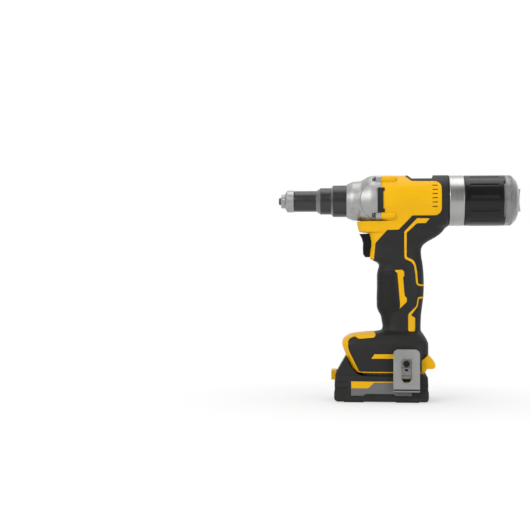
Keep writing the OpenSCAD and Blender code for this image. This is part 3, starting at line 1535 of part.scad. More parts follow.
left_housing();
right_housing();
left_overmould();
right_overmould();
grip_badges();
housing_screws();
gear_housing();
machine_screws();
side_bumpers();
nose_barrel();
nose_cap();
nosepiece();
gear_plate();
bearings();
ring_gear();
motor_plate();
stator();
stator_windings();
guide_bush();
rear_ring();
trigger_switch();
battery_receiver();
terminal_block();
terminal_blades();
board_tray();
circuit_board();
light_lens();
belt_hook();
belt_hook_screw();
hook_inserts();
trigger();
trigger_spring();
drive_nut();
nut_gear();
drive_screw();
jaw_housing();
mandrel_tube();
jaw_pusher();
jaw_spring();
jaw_1();
jaw_2();
jaw_3();
planet_carrier();
output_pinion();
planet_1();
planet_2();
planet_3();
rotor();
cooling_fan();
battery_base();
battery_cover();
battery_cells();
battery_panels();
battery_latch();
latch_spring();
collector_seal();
collector_sleeve();
mandrel_cup();
nosepiece_tray();
spare_nosepieces();
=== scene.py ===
"""Looks of a battery rivet tool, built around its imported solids."""

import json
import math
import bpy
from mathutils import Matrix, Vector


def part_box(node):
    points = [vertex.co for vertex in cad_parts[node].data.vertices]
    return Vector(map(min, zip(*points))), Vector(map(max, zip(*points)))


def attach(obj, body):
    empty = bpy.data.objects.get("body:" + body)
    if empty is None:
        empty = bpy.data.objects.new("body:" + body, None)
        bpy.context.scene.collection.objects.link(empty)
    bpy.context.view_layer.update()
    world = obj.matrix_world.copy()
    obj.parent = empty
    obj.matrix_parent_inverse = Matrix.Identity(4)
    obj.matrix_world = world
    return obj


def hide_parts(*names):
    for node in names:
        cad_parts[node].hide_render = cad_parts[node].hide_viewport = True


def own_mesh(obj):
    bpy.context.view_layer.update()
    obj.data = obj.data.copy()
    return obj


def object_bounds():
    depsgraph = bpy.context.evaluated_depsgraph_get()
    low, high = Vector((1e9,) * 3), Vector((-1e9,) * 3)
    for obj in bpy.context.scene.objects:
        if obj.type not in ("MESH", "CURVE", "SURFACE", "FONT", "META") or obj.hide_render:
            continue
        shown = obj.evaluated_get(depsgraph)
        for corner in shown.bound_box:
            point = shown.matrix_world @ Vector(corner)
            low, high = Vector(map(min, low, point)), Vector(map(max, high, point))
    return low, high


bl_info = {
    "name": "Battery rivet tool",
    "version": (1, 0, 0),
    "blender": (4, 5, 0),
    "location": "View3D > Sidebar > Rivet tool",
    "description": "Skins, finishes, stage and camera of a battery rivet tool",
    "category": "Object",
}

from contextlib import contextmanager

import bmesh
import bpy
from mathutils import Vector

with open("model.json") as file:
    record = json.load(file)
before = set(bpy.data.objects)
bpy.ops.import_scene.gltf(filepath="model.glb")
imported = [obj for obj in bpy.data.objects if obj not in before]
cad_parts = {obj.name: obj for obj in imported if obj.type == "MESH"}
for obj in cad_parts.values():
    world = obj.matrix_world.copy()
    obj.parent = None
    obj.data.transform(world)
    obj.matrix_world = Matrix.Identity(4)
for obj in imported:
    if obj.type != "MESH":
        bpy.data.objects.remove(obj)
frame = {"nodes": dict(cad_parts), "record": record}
CAD_BOX = [list(v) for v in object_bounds()]
# A millimetre in metres, and a metre in millimetres
MM = 0.001
METRE = 1000.0


def box_mm(node):
    """Low and high corner of a CAD node, in millimetres."""
    return [[c / MM for c in corner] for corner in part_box(node)]


# Height of the spindle that nose, drive and collector share
AXIS_Z = round(sum(corner[2] for corner in box_mm("nose_barrel")) / 2, 3)
# Half width and length of cuts that go beyond every skin
REACH = 60.0
FAR = 300.0


# Settings

class RivetSizes(bpy.types.PropertyGroup):
    """Sizes of the skins and of the fine forms on them."""

    skin: bpy.props.FloatProperty(
        name="Skin depth", description="How deep the rubber skin reaches", default=1.3 * MM, unit="LENGTH")
    shell_drop: bpy.props.FloatProperty(
        name="Yellow drop", description="How far the yellow cover lies below the rubber",
        default=0.3 * MM, unit="LENGTH")
    bead: bpy.props.FloatProperty(
        name="Bead height", description="How far the yellow lines stand above the rubber",
        default=0.25 * MM, unit="LENGTH")
    rib_pitch: bpy.props.FloatProperty(
        name="Grip rib pitch", description="Distance from one grip rib to the next",
        default=2.1 * MM, unit="LENGTH")
    rib_depth: bpy.props.FloatProperty(
        name="Grip rib depth", description="Depth of the grooves between grip ribs",
        default=0.6 * MM, unit="LENGTH")
    rim: bpy.props.FloatProperty(
        name="Rim height", description="How far the rim of the foot stands above the rubber",
        default=0.5 * MM, unit="LENGTH")
    edge: bpy.props.FloatProperty(
        name="Edge round", description="Rounding of moulded and machined edges",
        default=0.35 * MM, unit="LENGTH")


class RivetColours(bpy.types.PropertyGroup):
    """Colours of the finishes."""

    yellow: bpy.props.FloatVectorProperty(
        name="Yellow plastic", description="Housing, beads, badge, latch and tray",
        default=(0.80, 0.43, 0.004), subtype="COLOR", min=0, max=1)
    rubber: bpy.props.FloatVectorProperty(
        name="Black rubber", description="Soft skin of the grip and of the rear",
        default=(0.013, 0.0128, 0.0125), subtype="COLOR", min=0, max=1)
    plastic: bpy.props.FloatVectorProperty(
        name="Black plastic", description="Battery, trigger and sleeve",
        default=(0.013, 0.013, 0.0125), subtype="COLOR", min=0, max=1)
    alloy: bpy.props.FloatVectorProperty(
        name="Bare alloy", description="Gear housing and rear ring",
        default=(0.39, 0.39, 0.386), subtype="COLOR", min=0, max=1)
    steel: bpy.props.FloatVectorProperty(
        name="Steel", description="Belt hook and bright steel parts",
        default=(0.35, 0.35, 0.343), subtype="COLOR", min=0, max=1)
    smoke: bpy.props.FloatVectorProperty(
        name="Smoked plastic", description="Clear end of the mandrel collector",
        default=(0.47, 0.47, 0.475), subtype="COLOR", min=0, max=1)


class RivetStage(bpy.types.PropertyGroup):
    """Floor, light and camera."""

    floor: bpy.props.FloatVectorProperty(
        name="Floor", description="Colour of floor and backdrop",
        default=(0.82, 0.82, 0.82), subtype="COLOR", min=0, max=1)
    light: bpy.props.FloatProperty(
        name="Light", description="Power of the main lamp", default=15.0, unit="POWER")
    fov: bpy.props.FloatProperty(
        name="View angle", description="Angle across the square picture",
        default=math.radians(24.425), subtype="ANGLE")


def settings():
    """The scene's groups of sizes, colours and stage values."""
    scene = bpy.context.scene
    return scene.rivet_sizes, scene.rivet_colours, scene.rivet_stage


# Hand tools

def hold(obj):
    """Makes one object the active one, selected alone."""
    bpy.ops.object.select_all(action="DESELECT")
    obj.select_set(True)
    bpy.context.view_layer.objects.active = obj
    return obj


def fresh():
    """Goes back to object mode with nothing selected."""
    if bpy.context.mode != "OBJECT":
        bpy.ops.object.mode_set(mode="OBJECT")
    bpy.ops.object.select_all(action="DESELECT")


@contextmanager
def editing(obj, kind="FACE"):
    """Edit mode on one object, left again at the end of the block."""
    hold(obj)
    bpy.ops.object.mode_set(mode="EDIT")
    bpy.ops.mesh.select_mode(type=kind)
    yield bmesh.from_edit_mesh(obj.data)
    bpy.ops.object.mode_set(mode="OBJECT")


def pick_edges(bm, obj, test):
    """Selects the edges that pass a test, and no others."""
    bpy.ops.mesh.select_all(action="DESELECT")
    for edge in bm.edges:
        if test(edge):
            edge.select_set(True)
    bm.select_flush_mode()
    bmesh.update_edit_mesh(obj.data)


def seat(obj, name):
    """Puts an object's place, turn and scale into its mesh, and names both."""
    hold(obj)
    bpy.ops.object.transform_apply(location=True, rotation=True, scale=True)
    obj.name = name
    obj.data.name = name
    return obj


def modify(obj, kind, **values):
    """Adds a modifier and applies it."""
    m = obj.modifiers.new(kind.title(), kind)
    for key, value in values.items():
        setattr(m, key, value)
    hold(obj)
    bpy.ops.object.modifier_apply(modifier=m.name)
    return obj


def carve(obj, tool, operation="DIFFERENCE", keep=False):
    """Cuts a tool out of an object, or joins the two, or leaves what they share."""
    modify(obj, "BOOLEAN", operation=operation, object=tool, solver="MANIFOLD")
    if not len(obj.data.polygons):
        raise RuntimeError("nothing is left of " + obj.name)
    if not keep:
        drop(tool)
    return obj


def drop(*objs):
    """Removes objects together with their meshes."""
    for o in objs:
        mesh = o.data
        bpy.data.objects.remove(o)
        bpy.data.meshes.remove(mesh)


def twin(obj, name):
    """A copy with its own mesh."""
    copy = obj.copy()
    copy.data = obj.data.copy()
    bpy.context.scene.collection.objects.link(copy)
    copy.name = name
    copy.data.name = name
    return copy


def weld(objs, name):
    """Joins objects into the first one."""
    bpy.ops.object.select_all(action="DESELECT")
    for o in objs:
        o.select_set(True)
    bpy.context.view_layer.objects.active = objs[0]
    bpy.ops.object.join()
    objs[0].name = name
    return objs[0]


def clean(obj, distance=0.002 * MM, outward=True):
    """Merges points that lie together and turns the faces outwards."""
    with editing(obj, "VERT"):
        bpy.ops.mesh.select_all(action="SELECT")
        bpy.ops.mesh.remove_doubles(threshold=distance)
        if outward:
            bpy.ops.mesh.normals_make_consistent(inside=False)
    return obj


def round_edges(obj, width, segments=2, angle=40, clamp=True):
    """Rounds the edges that bend by more than an angle in degrees."""
    return modify(obj, "BEVEL", width=width, segments=segments, limit_method="ANGLE",
                  angle_limit=math.radians(angle), use_clamp_overlap=clamp, miter_outer="MITER_ARC")


def shade(obj, angle=35):
    """Smooth shading, broken at edges that bend by more than an angle in degrees."""
    hold(obj)
    bpy.ops.object.shade_smooth_by_angle(angle=math.radians(angle))
    return obj


def block(name, lo, hi):
    """A box between two corners."""
    fresh()
    mid = [(a + b) / 2 * MM for a, b in zip(lo, hi)]
    bpy.ops.mesh.primitive_cube_add(size=1, location=mid)
    o = bpy.context.object
    o.scale = [(b - a) * MM for a, b in zip(lo, hi)]
    return seat(o, name)


def rod(name, start, end, radius, sides=48):
    """A round bar between two points."""
    fresh()
    a, b = Vector(start) * MM, Vector(end) * MM
    way = b - a
    bpy.ops.mesh.primitive_cylinder_add(
        vertices=sides, radius=radius * MM, depth=way.length, location=(a + b) / 2)
    o = bpy.context.object
    o.rotation_euler = way.to_track_quat("Z", "Y").to_euler()
    return seat(o, name)


def plate(name, outline, y0, y1):
    """A flat outline in the side view, pulled from y0 to y1."""
    fresh()
    bpy.ops.mesh.primitive_circle_add(vertices=len(outline), radius=1, fill_type="NGON")
    o = bpy.context.object
    for v, (x, z) in zip(o.data.vertices, outline):
        v.co = (x * MM, y0 * MM, z * MM)
    with editing(o):
        bpy.ops.mesh.select_all(action="SELECT")
        bpy.ops.mesh.extrude_region_move(TRANSFORM_OT_translate={"value": (0, (y1 - y0) * MM, 0)})
        bpy.ops.mesh.select_all(action="SELECT")
        bpy.ops.mesh.normals_make_consistent(inside=False)
    return seat(o, name)


def through(name, outline):
    """A plate that goes through the whole tool."""
    return plate(name, outline, -REACH, REACH)


def spindle_rod(name, x0, x1, radius, sides=48):
    """A round bar along the spindle."""
    return rod(name, (x0, 0, AXIS_Z), (x1, 0, AXIS_Z), radius, sides)


def turned(name, outline, steps=96):
    """A closed outline (x, radius) spun round the spindle."""
    fresh()
    bpy.ops.mesh.primitive_circle_add(vertices=len(outline), radius=1, fill_type="NOTHING")
    o = bpy.context.object
    for v, (x, r) in zip(o.data.vertices, outline):
        v.co = (x * MM, 0, (AXIS_Z + r) * MM)
    with editing(o, "VERT"):
        bpy.ops.mesh.select_all(action="SELECT")
        bpy.ops.mesh.spin(steps=steps, angle=2 * math.pi, center=(0, 0, AXIS_Z * MM), axis=(1, 0, 0))
        bpy.ops.mesh.select_all(action="SELECT")
        bpy.ops.mesh.remove_doubles(threshold=0.004 * MM)
        bpy.ops.mesh.normals_make_consistent(inside=False)
    return seat(o, name)


def wrapped(name, rings):
    """A sheet of squares laid over rings of points, closed at its seam and ends."""
    fresh()
    m, n = len(rings), len(rings[0])
    bpy.ops.mesh.primitive_grid_add(x_subdivisions=n, y_subdivisions=m - 1, size=1)
    o = bpy.context.object
    for j in range(m):
        for i in range(n + 1):
            x, y, z = rings[j][i % n]
            o.data.vertices[j * (n + 1) + i].co = (x * MM, y * MM, z * MM)
    with editing(o, "VERT"):
        bpy.ops.mesh.select_all(action="SELECT")
        bpy.ops.mesh.remove_doubles(threshold=0.001 * MM)
        bpy.ops.mesh.select_all(action="DESELECT")
        bpy.ops.mesh.select_non_manifold()
        bpy.ops.mesh.edge_face_add()
        bpy.ops.mesh.select_all(action="SELECT")
        bpy.ops.mesh.fill_holes(sides=0)
        bpy.ops.mesh.normals_make_consistent(inside=False)
    return seat(o, name)


def taken(node, name):
    """A merged copy of a CAD node's mesh, as the start of the piece that replaces it."""
    src = frame["nodes"][node]
    o = bpy.data.objects.new(name, src.data.copy())
    bpy.context.scene.collection.objects.link(o)
    o.data.name = name
    o.data.materials.clear()
    clean(o, 0.003 * MM, outward=False)
    with editing(o):
        bpy.ops.mesh.select_all(action="SELECT")
        bpy.ops.mesh.dissolve_limited(angle_limit=math.radians(0.6))
    return o


def stretched(obj, scale):
    """Scales a piece about the origin and puts the scale into its mesh."""
    obj.scale = scale
    return seat(obj, obj.name)


def finish(obj, body, slot, *nodes, angle=35, look=None):
    """Gives a piece its finish and puts it on its body, in place of its CAD nodes."""
    shade(obj, angle)
    modify(obj, "WEIGHTED_NORMAL", keep_sharp=True)
    obj.data.materials.clear()
    obj.data.materials.append(FINISHES[look or slot])
    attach(obj, body)
    if nodes:
        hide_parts(*nodes)
    return obj


def dressed(node, body, slot, width, segments=2, angle=40, look=None):
    """A CAD form with its edges rounded."""
    o = taken(node, node + "_piece")
    round_edges(o, width * MM, segments, angle, clamp=False)
    return finish(o, body, slot, node, look=look)


def sprung(node, body):
    """A coil, dressed as spring steel and put on the body that holds it, with a mesh of its own."""
    o = finish(taken(node, node + "_piece"), body, "spring_steel", node)
    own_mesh(o)
    return o


def arc(x, z, r, a0, a1, steps=12):
    """Points of an arc in the side view, angles in degrees from +X towards +Z."""
    turn = [math.radians(a0 + (a1 - a0) * k / steps) for k in range(steps + 1)]
    return [(x + r * math.cos(a), z + r * math.sin(a)) for a in turn]


def rounded(corners, steps=6, most=0.48):
    """An outline of the side view from its corners (x, z, rounding), each within a share of its edges."""
    out = []
    for i, (x, z, r) in enumerate(corners):
        at = Vector((x, z))
        if r == 0:
            out.append((x, z))
            continue
        a = Vector(corners[i - 1][:2]) - at
        b = Vector(corners[(i + 1) % len(corners)][:2]) - at
        half = a.angle(b) / 2
        reach = min(r / math.tan(half), most * a.length, most * b.length)
        a, b = a.normalized() * reach, b.normalized() * reach
        centre = at + (a + b).normalized() * reach / math.cos(half)
        first, last = at + a - centre, at + b - centre
        out += [tuple(centre + first.slerp(last, k / steps) * first.length) for k in range(steps + 1)]
    return out


# Finishes

FINISHES = {}


def new_finish(slot, colour, rough, metal=0.0):
    """A plain finish, kept under the name of its slot."""
    m = bpy.data.materials.new(slot)
    m.use_nodes = True
    nt = m.node_tree
    bsdf = nt.nodes["Principled BSDF"]
    bsdf.inputs["Base Color"].default_value = (*colour, 1)
    bsdf.inputs["Roughness"].default_value = rough
    bsdf.inputs["Metallic"].default_value = metal
    FINISHES[slot] = m
    m.diffuse_color = (*colour, 1)
    return nt, bsdf


def node(nt, kind, **values):
    """A new node with some of its settings or inputs given."""
    n = nt.nodes.new(kind)
    for key, value in values.items():
        if key in n.inputs:
            n.inputs[key].default_value = value
        else:
            setattr(n, key, value)
    return n


def place(nt, scale=(1, 1, 1), turn=(0, 0, 0)):
    """Object coordinates, scaled and turned."""
    coords = node(nt, "ShaderNodeTexCoord")
    mapping = node(nt, "ShaderNodeMapping", Scale=scale, Rotation=turn)
    nt.links.new(coords.outputs["Object"], mapping.inputs["Vector"])
    return mapping.outputs["Vector"]


def noise(nt, at, scale, detail):
    """A noise pattern."""
    n = node(nt, "ShaderNodeTexNoise", Scale=scale, Detail=detail)
    nt.links.new(at, n.inputs["Vector"])
    return n.outputs["Fac"]


def span(nt, value, lo, hi, at0=0.3, at1=0.7):
    """A value between at0 and at1, spread over the span from lo to hi."""
    r = node(nt, "ShaderNodeMapRange")
    r.inputs["From Min"].default_value = at0
    r.inputs["From Max"].default_value = at1
    r.inputs["To Min"].default_value = lo
    r.inputs["To Max"].default_value = hi
    nt.links.new(value, r.inputs["Value"])
    return r.outputs["Result"]


def tint(nt, bsdf, value, dark, light, at0=0.3, at1=0.7):
    """Colours a finish from dark to light by a value."""
    ramp = node(nt, "ShaderNodeValToRGB")
    for stop, at, colour in zip(ramp.color_ramp.elements, (at0, at1), (dark, light)):
        stop.position = at
        stop.color = (*colour, 1)
    nt.links.new(value, ramp.inputs["Fac"])
    nt.links.new(ramp.outputs["Color"], bsdf.inputs["Base Color"])


def combined(nt, operation, one, other):
    """Two values put together by a sum or choice."""
    n = node(nt, "ShaderNodeMath", operation=operation)
    nt.links.new(one, n.inputs[0])
    nt.links.new(other, n.inputs[1])
    return n.outputs["Value"]


def mixed(nt, amount, one, other, output):
    """Sends one shader to the output where the amount is 0, and the other where it is 1."""
    mix = node(nt, "ShaderNodeMixShader")
    nt.links.new(amount, mix.inputs["Fac"])
    nt.links.new(one, mix.inputs[1])
    nt.links.new(other, mix.inputs[2])
    nt.links.new(mix.outputs["Shader"], nt.nodes[output].inputs["Surface"])


def grain(nt, bsdf, value, depth, strength):
    """A fine relief, its depth in millimetres."""
    b = node(nt, "ShaderNodeBump", Strength=strength, Distance=depth * MM)
    nt.links.new(value, b.inputs["Height"])
    nt.links.new(b.outputs["Normal"], bsdf.inputs["Normal"])


def shift(colour, factor):
    """A lighter or darker colour."""
    return tuple(min(1.0, c * factor) for c in colour)


def worn(nt, bsdf, value, rough, less, more):
    """Lets the roughness stray below and above its middle by a value."""
    nt.links.new(span(nt, value, rough - less, rough + more), bsdf.inputs["Roughness"])


def moulded(slot, colour, rough, grain_mm, depth, strength, spread=0.06, rough_spread=0.08, specular=None):
    """Moulded plastic or rubber with a spark-eroded grain and faint handling marks."""
    nt, bsdf = new_finish(slot, colour, rough)
    at = place(nt)
    broad = noise(nt, at, scale=28, detail=4)
    fine = noise(nt, at, scale=METRE / grain_mm, detail=2)
    tint(nt, bsdf, broad, shift(colour, 1 - spread), shift(colour, 1 + spread))
    worn(nt, bsdf, broad, rough, rough_spread, rough_spread)
    grain(nt, bsdf, fine, depth, strength)
    if specular is not None:
        bsdf.inputs["Specular IOR Level"].default_value = specular


def lathed(slot, colour, rough, metal=1.0, marks=2600, spread=0.08, strength=0.12):
    """Metal turned on a lathe: fine rings along the spindle."""
    nt, bsdf = new_finish(slot, colour, rough, metal)
    rings = noise(nt, place(nt, (marks, 6, 6)), scale=1, detail=2)
    broad = noise(nt, place(nt), scale=45, detail=4)
    tint(nt, bsdf, rings, shift(colour, 1 - spread), shift(colour, 1 + spread))
    worn(nt, bsdf, broad, rough, less=0.06, more=0.06)
    grain(nt, bsdf, rings, 0.02, strength)


def blasted(slot, colour, rough, metal=1.0, size_mm=0.5, strength=0.25):
    """Bead-blasted or cast metal."""
    nt, bsdf = new_finish(slot, colour, rough, metal)
    at = place(nt)
    broad = noise(nt, at, scale=36, detail=5)
    fine = noise(nt, at, scale=METRE / size_mm, detail=3)
    tint(nt, bsdf, broad, shift(colour, 0.93), shift(colour, 1.06))
    worn(nt, bsdf, fine, rough, less=0.08, more=0.1)
    grain(nt, bsdf, fine, 0.05, strength)


def layered(slot, colour, dark, scale, rough, turn=(0, 0, 0)):
    """Stacked sheets or wound wire: bands along one way."""
    nt, bsdf = new_finish(slot, colour, rough, metal=1.0)
    w = node(nt, "ShaderNodeTexWave", bands_direction="X", Scale=scale, Distortion=0.3)
    nt.links.new(place(nt, turn=turn), w.inputs["Vector"])
    tint(nt, bsdf, w.outputs["Fac"], dark, colour, 0.15, 0.6)
    grain(nt, bsdf, w.outputs["Fac"], depth=0.06, strength=0.5)
    worn(nt, bsdf, noise(nt, place(nt), scale=80, detail=3), rough, less=0.08, more=0.08)


class RIVET_OT_finishes(bpy.types.Operator):
    """Makes the finish of every material slot and gives each CAD node its own"""

    bl_idname = "rivet.finishes"
    bl_label = "Finishes"

    def execute(self, context):
        _, colours, _ = settings()
        self.plastics(tuple(colours.yellow), tuple(colours.rubber), tuple(colours.plastic))
        self.metals(tuple(colours.alloy), tuple(colours.steel))
        self.windings(tuple(colours.steel))
        self.board()
        self.clear("clear_lens", (0.92, 0.93, 0.95), 0.12)
        self.clear("smoke_plastic", tuple(colours.smoke), 0.14)
        slots = {p["node"]: p["material_slot"] for p in frame["record"]["subparts"]}
        for name, obj in frame["nodes"].items():
            slot = slots.get(name)
            if slot not in FINISHES:
                raise RuntimeError("no finish for " + name)
            obj.data.materials.clear()
            obj.data.materials.append(FINISHES[slot])
        return {"FINISHED"}

    def plastics(self, yellow, rubber, plastic):
        """Plastic and rubber of housing, skin, trigger, sleeve and battery."""
        moulded("yellow_plastic", yellow, rough=0.40, grain_mm=0.35, depth=0.03, strength=0.16,
                spread=0.035, specular=0.14)
        moulded("black_rubber", rubber, rough=0.56, grain_mm=0.28, depth=0.05, strength=0.35,
                spread=0.10, specular=0.3)
        moulded("seal_rubber", shift(rubber, 0.7), rough=0.5, grain_mm=0.4, depth=0.03, strength=0.2)
        moulded("black_plastic", plastic, rough=0.46, grain_mm=0.32, depth=0.035, strength=0.22,
                spread=0.10, specular=0.35)
        moulded("glossy_black", shift(plastic, 0.4), rough=0.24, grain_mm=0.5, depth=0.01, strength=0.10,
                spread=0.10, rough_spread=0.05, specular=0.32)
        moulded("grey_panel", (0.14, 0.14, 0.145), rough=0.42, grain_mm=0.5, depth=0.01, strength=0.1,
                spread=0.05)

    def metals(self, alloy, steel):
        """Cast, turned, ground and plated metal."""
        blasted("cast_alloy", alloy, rough=0.46, metal=0.9, size_mm=0.55, strength=0.10)
        lathed("turned_alloy", shift(alloy, 1.02), rough=0.36)
        lathed("turned_cap", shift(alloy, 0.95), rough=0.42, metal=0.9, marks=1400, spread=0.05,
               strength=0.04)
        blasted("plate_alloy", shift(alloy, 0.85), rough=0.36, size_mm=0.4, strength=0.15)
        lathed("black_anodised", (0.020, 0.020, 0.021), rough=0.30, metal=0.0, marks=1800, spread=0.10,
               strength=0.06)
        # A lighter metal that paints the highlight on the black nose barrel's chamfers
        lathed("bare_chamfer", shift(steel, 0.62), rough=0.36, metal=0.9, marks=2400, strength=0.06)
        lathed("bright_steel", shift(steel, 1.25), rough=0.26, marks=3000)
        blasted("dark_steel", (0.11, 0.11, 0.115), rough=0.38, size_mm=0.4, strength=0.15)
        lathed("bearing_steel", shift(steel, 1.15), rough=0.22, marks=3400)
        lathed("spring_steel", shift(steel, 0.9), rough=0.3, marks=900)
        blasted("hook_steel", steel, rough=0.44, metal=0.85, size_mm=0.45, strength=0.18)
        lathed("brass", (0.74, 0.52, 0.20), rough=0.3, marks=2200)
        blasted("cell_foil", (0.62, 0.63, 0.65), rough=0.32, size_mm=3.0, strength=0.3)

    def windings(self, steel):
        """The motor's stacked sheets and its wire."""
        layered("lamination", shift(steel, 0.95), (0.12, 0.12, 0.12), scale=62.5, rough=0.42)
        layered("copper", (0.72, 0.30, 0.14), (0.28, 0.09, 0.04), scale=55.556, rough=0.35,
                turn=(0, math.pi / 2, 0))

    def board(self):
        """A circuit board with paler tracks between its fields."""
        green, deep_green, track = (0.02, 0.16, 0.06), (0.015, 0.12, 0.045), (0.06, 0.30, 0.12)
        nt, bsdf = new_finish("green_board", green, 0.35)
        brick = node(nt, "ShaderNodeTexBrick", offset=0.5, Scale=160, Mortar=(*track, 1),
                     Color1=(*green, 1), Color2=(*deep_green, 1))
        brick.inputs["Mortar Size"].default_value = 0.03
        nt.links.new(place(nt), brick.inputs["Vector"])
        nt.links.new(brick.outputs["Color"], bsdf.inputs["Base Color"])
        grain(nt, bsdf, brick.outputs["Fac"], depth=0.03, strength=0.3)

    def clear(self, slot, colour, rough):
        """Clear plastic with a slight haze."""
        nt, bsdf = new_finish(slot, colour, rough)
        bsdf.inputs["Transmission Weight"].default_value = 0.9
        bsdf.inputs["IOR"].default_value = 1.46
        haze = noise(nt, place(nt), scale=60, detail=4)
        tint(nt, bsdf, haze, shift(colour, 0.92), shift(colour, 1.06))
        worn(nt, bsdf, haze, rough, less=0.04, more=0.1)


# Outer form of grip and body

# Each station has its height, front, rear, half width and squareness
STATIONS = (
    (26.0, -18.0, 55.0, 36.3, 6), (32.5, -25.0, 56.0, 36.6, 6), (37.9, -32.6, 56.4, 37.0, 6),
    (44.0, -36.8, 56.4, 37.0, 6), (50.9, -40.4, 56.4, 37.0, 6), (57.0, -42.5, 56.4, 37.0, 6),
    (65.0, -45.6, 56.4, 36.4, 6), (69.4, -46.7, 56.2, 35.9, 6), (73.8, -46.0, 54.7, 34.4, 5.5),
    (76.9, -42.5, 53.0, 31.8, 5), (79.8, -37.0, 51.1, 28.9, 4.5), (81.5, -28.0, 50.0, 25.9, 4),
    (82.8, -12.0, 48.9, 22.9, 3.2), (85.1, -0.2, 47.8, 20.0, 2.8), (89.9, 1.5, 47.7, 18.9, 2.6),
    (95.6, 0.5, 47.9, 18.3, 2.6), (103.1, -1.0, 48.2, 18.0, 2.6), (107.9, -3.8, 48.8, 18.0, 2.6),
    (114.2, -5.6, 49.6, 18.2, 2.6), (126.6, -5.7, 51.1, 18.5, 2.6), (139.1, -5.4, 51.6, 18.5, 2.6),
    (151.5, -5.4, 51.3, 18.5, 2.6), (158.4, -4.1, 50.8, 18.3, 2.6), (163.2, -2.85, 50.3, 18.2, 2.6),
    (166.6, -4.5, 49.9, 18.2, 2.6), (168.5, -8.0, 49.6, 18.0, 2.7), (171.0, -13.5, 49.0, 17.85, 2.8),
    (175.0, -15.3, 48.45, 17.85, 2.8), (181.2, -14.6, 48.1, 18.0, 2.8), (186.9, -13.7, 49.8, 18.4, 2.8),
    (191.1, -13.4, 54.3, 19.25, 2.8), (198.2, -14.8, 66.3, 20.25, 2.8), (202.0, -16.0, 71.5, 20.75, 2.8),
    (203.0, -17.0, 72.5, 20.9, 2.8), (204.1, -26.6, 73.6, 21.2, 2.8), (208.5, -28.4, 77.0, 22.3, 2.9),
    (210.4, -28.7, 79.2, 22.9, 2.9), (211.8, -29.0, 81.0, 23.3, 3.0), (216.7, -29.8, 81.0, 24.6, 3.4),
    (217.0, 0.2, 81.0, 24.7, 5), (222.0, 0.2, 81.0, 26.2, 10), (226.0, 0.2, 81.0, 27.3, 18),
    (231.0, 0.2, 81.0, 28.96, 26), (236.0, 0.2, 81.0, 30.41, 30), (AXIS_Z, 0.2, 81.0, 31.0, 30))
FRONT, REAR, HALF_WIDTH, SQUARENESS = 1, 2, 3, 4
BODY_R = STATIONS[-1][HALF_WIDTH]
# Height from which the flanks follow the round of the body
ROUND_FROM = 231.0
# Steepest slope along which a skin is still set in
STEEPEST = 4.0
# Between these heights the rear corners get squarer by this much per millimetre
REAR_FROM, REAR_TO, REAR_RISE = 206, 226, 0.75
# Points of a ring, finer steps that they are taken from, and how strongly they crowd into corners
RING_POINTS, RING_STEPS, CORNER_CARE = 96, 360, 14.0
# Heights of the ribs, of the flare at their lower rear edge, and that edge above and below the flare
RIB_LOW, RIB_HIGH = 87.0, 157.0
FLARE_LOW, FLARE_HIGH, FLARE_REACH = 100, 110, 9.2
RIB_EDGE, RIB_LEAN, LOW_EDGE = 16.2, 0.12, 12.6
# Lengths over which the ribs run out below, above and to the rear
RIB_OUT_LOW, RIB_OUT_HIGH, RIB_OUT_REAR = 14, 2, 1.6
# Section of one rib, as shares of its pitch and its depth
RIB_SECTION = ((0.0, 0.0), (0.5, 0.0), (0.62, 1.0), (0.88, 1.0))
# Middle, half lengths and depth of the thumb hollow, and the deepest layer that follows it
THUMB_X, THUMB_Z, THUMB_LONG, THUMB_HIGH, THUMB_DEPTH, THUMB_LAYER = 8.5, 188.5, 12.0, 9.0, 1.0, 0.35
# Heights of the rings: end of the foot's flanks, end of the neck, and the shoulder below the body
FOOT_FLANK, NECK_TOP = 62, 202.6
SHOULDER = (203.0, 204.1, 205.4, 207.2, 209.4, 211.6, 214.0, 216.0, 216.7, 217.0, 218.2, 220.0, 222.0,
            224.0, 226.0, 228.5)
# Distances of the rings on foot, bend, plain grip and neck
FOOT_STEP, BEND_STEP, GRIP_STEP, NECK_STEP = 2.2, 1.1, 3.0, 1.3
# Angles of the body's rings, in degrees above the spindle
BODY_FROM, BODY_TO, BODY_LAST, BODY_STEP = -21.0, 86, 86.5, 3.0
# Lower ends of the skins and of the core that is taken out of them
SKIN_LOW, CORE_LOW = 32.45, 26.0
# Floor and upper edge of the recess in the top
RECESS_FLOOR, RECESS_TOP = 268.2, 275.0


def slopes(col):
    """Monotone slopes, so that the form never swells past its stations."""
    z = [s[0] for s in STATIONS]
    v = [s[col] for s in STATIONS]
    h = [b - a for a, b in zip(z, z[1:])]
    d = [(b - a) / k for a, b, k in zip(v, v[1:], h)]
    out = [d[0]]
    for i in range(1, len(z) - 1):
        if d[i - 1] * d[i] <= 0:
            out.append(0.0)
        else:
            w1, w2 = 2 * h[i] + h[i - 1], h[i] + 2 * h[i - 1]
            out.append((w1 + w2) / (w1 / d[i - 1] + w2 / d[i]))
    out.append(d[-1])
    return out


SLOPES = {c: slopes(c) for c in (FRONT, REAR, HALF_WIDTH, SQUARENESS)}


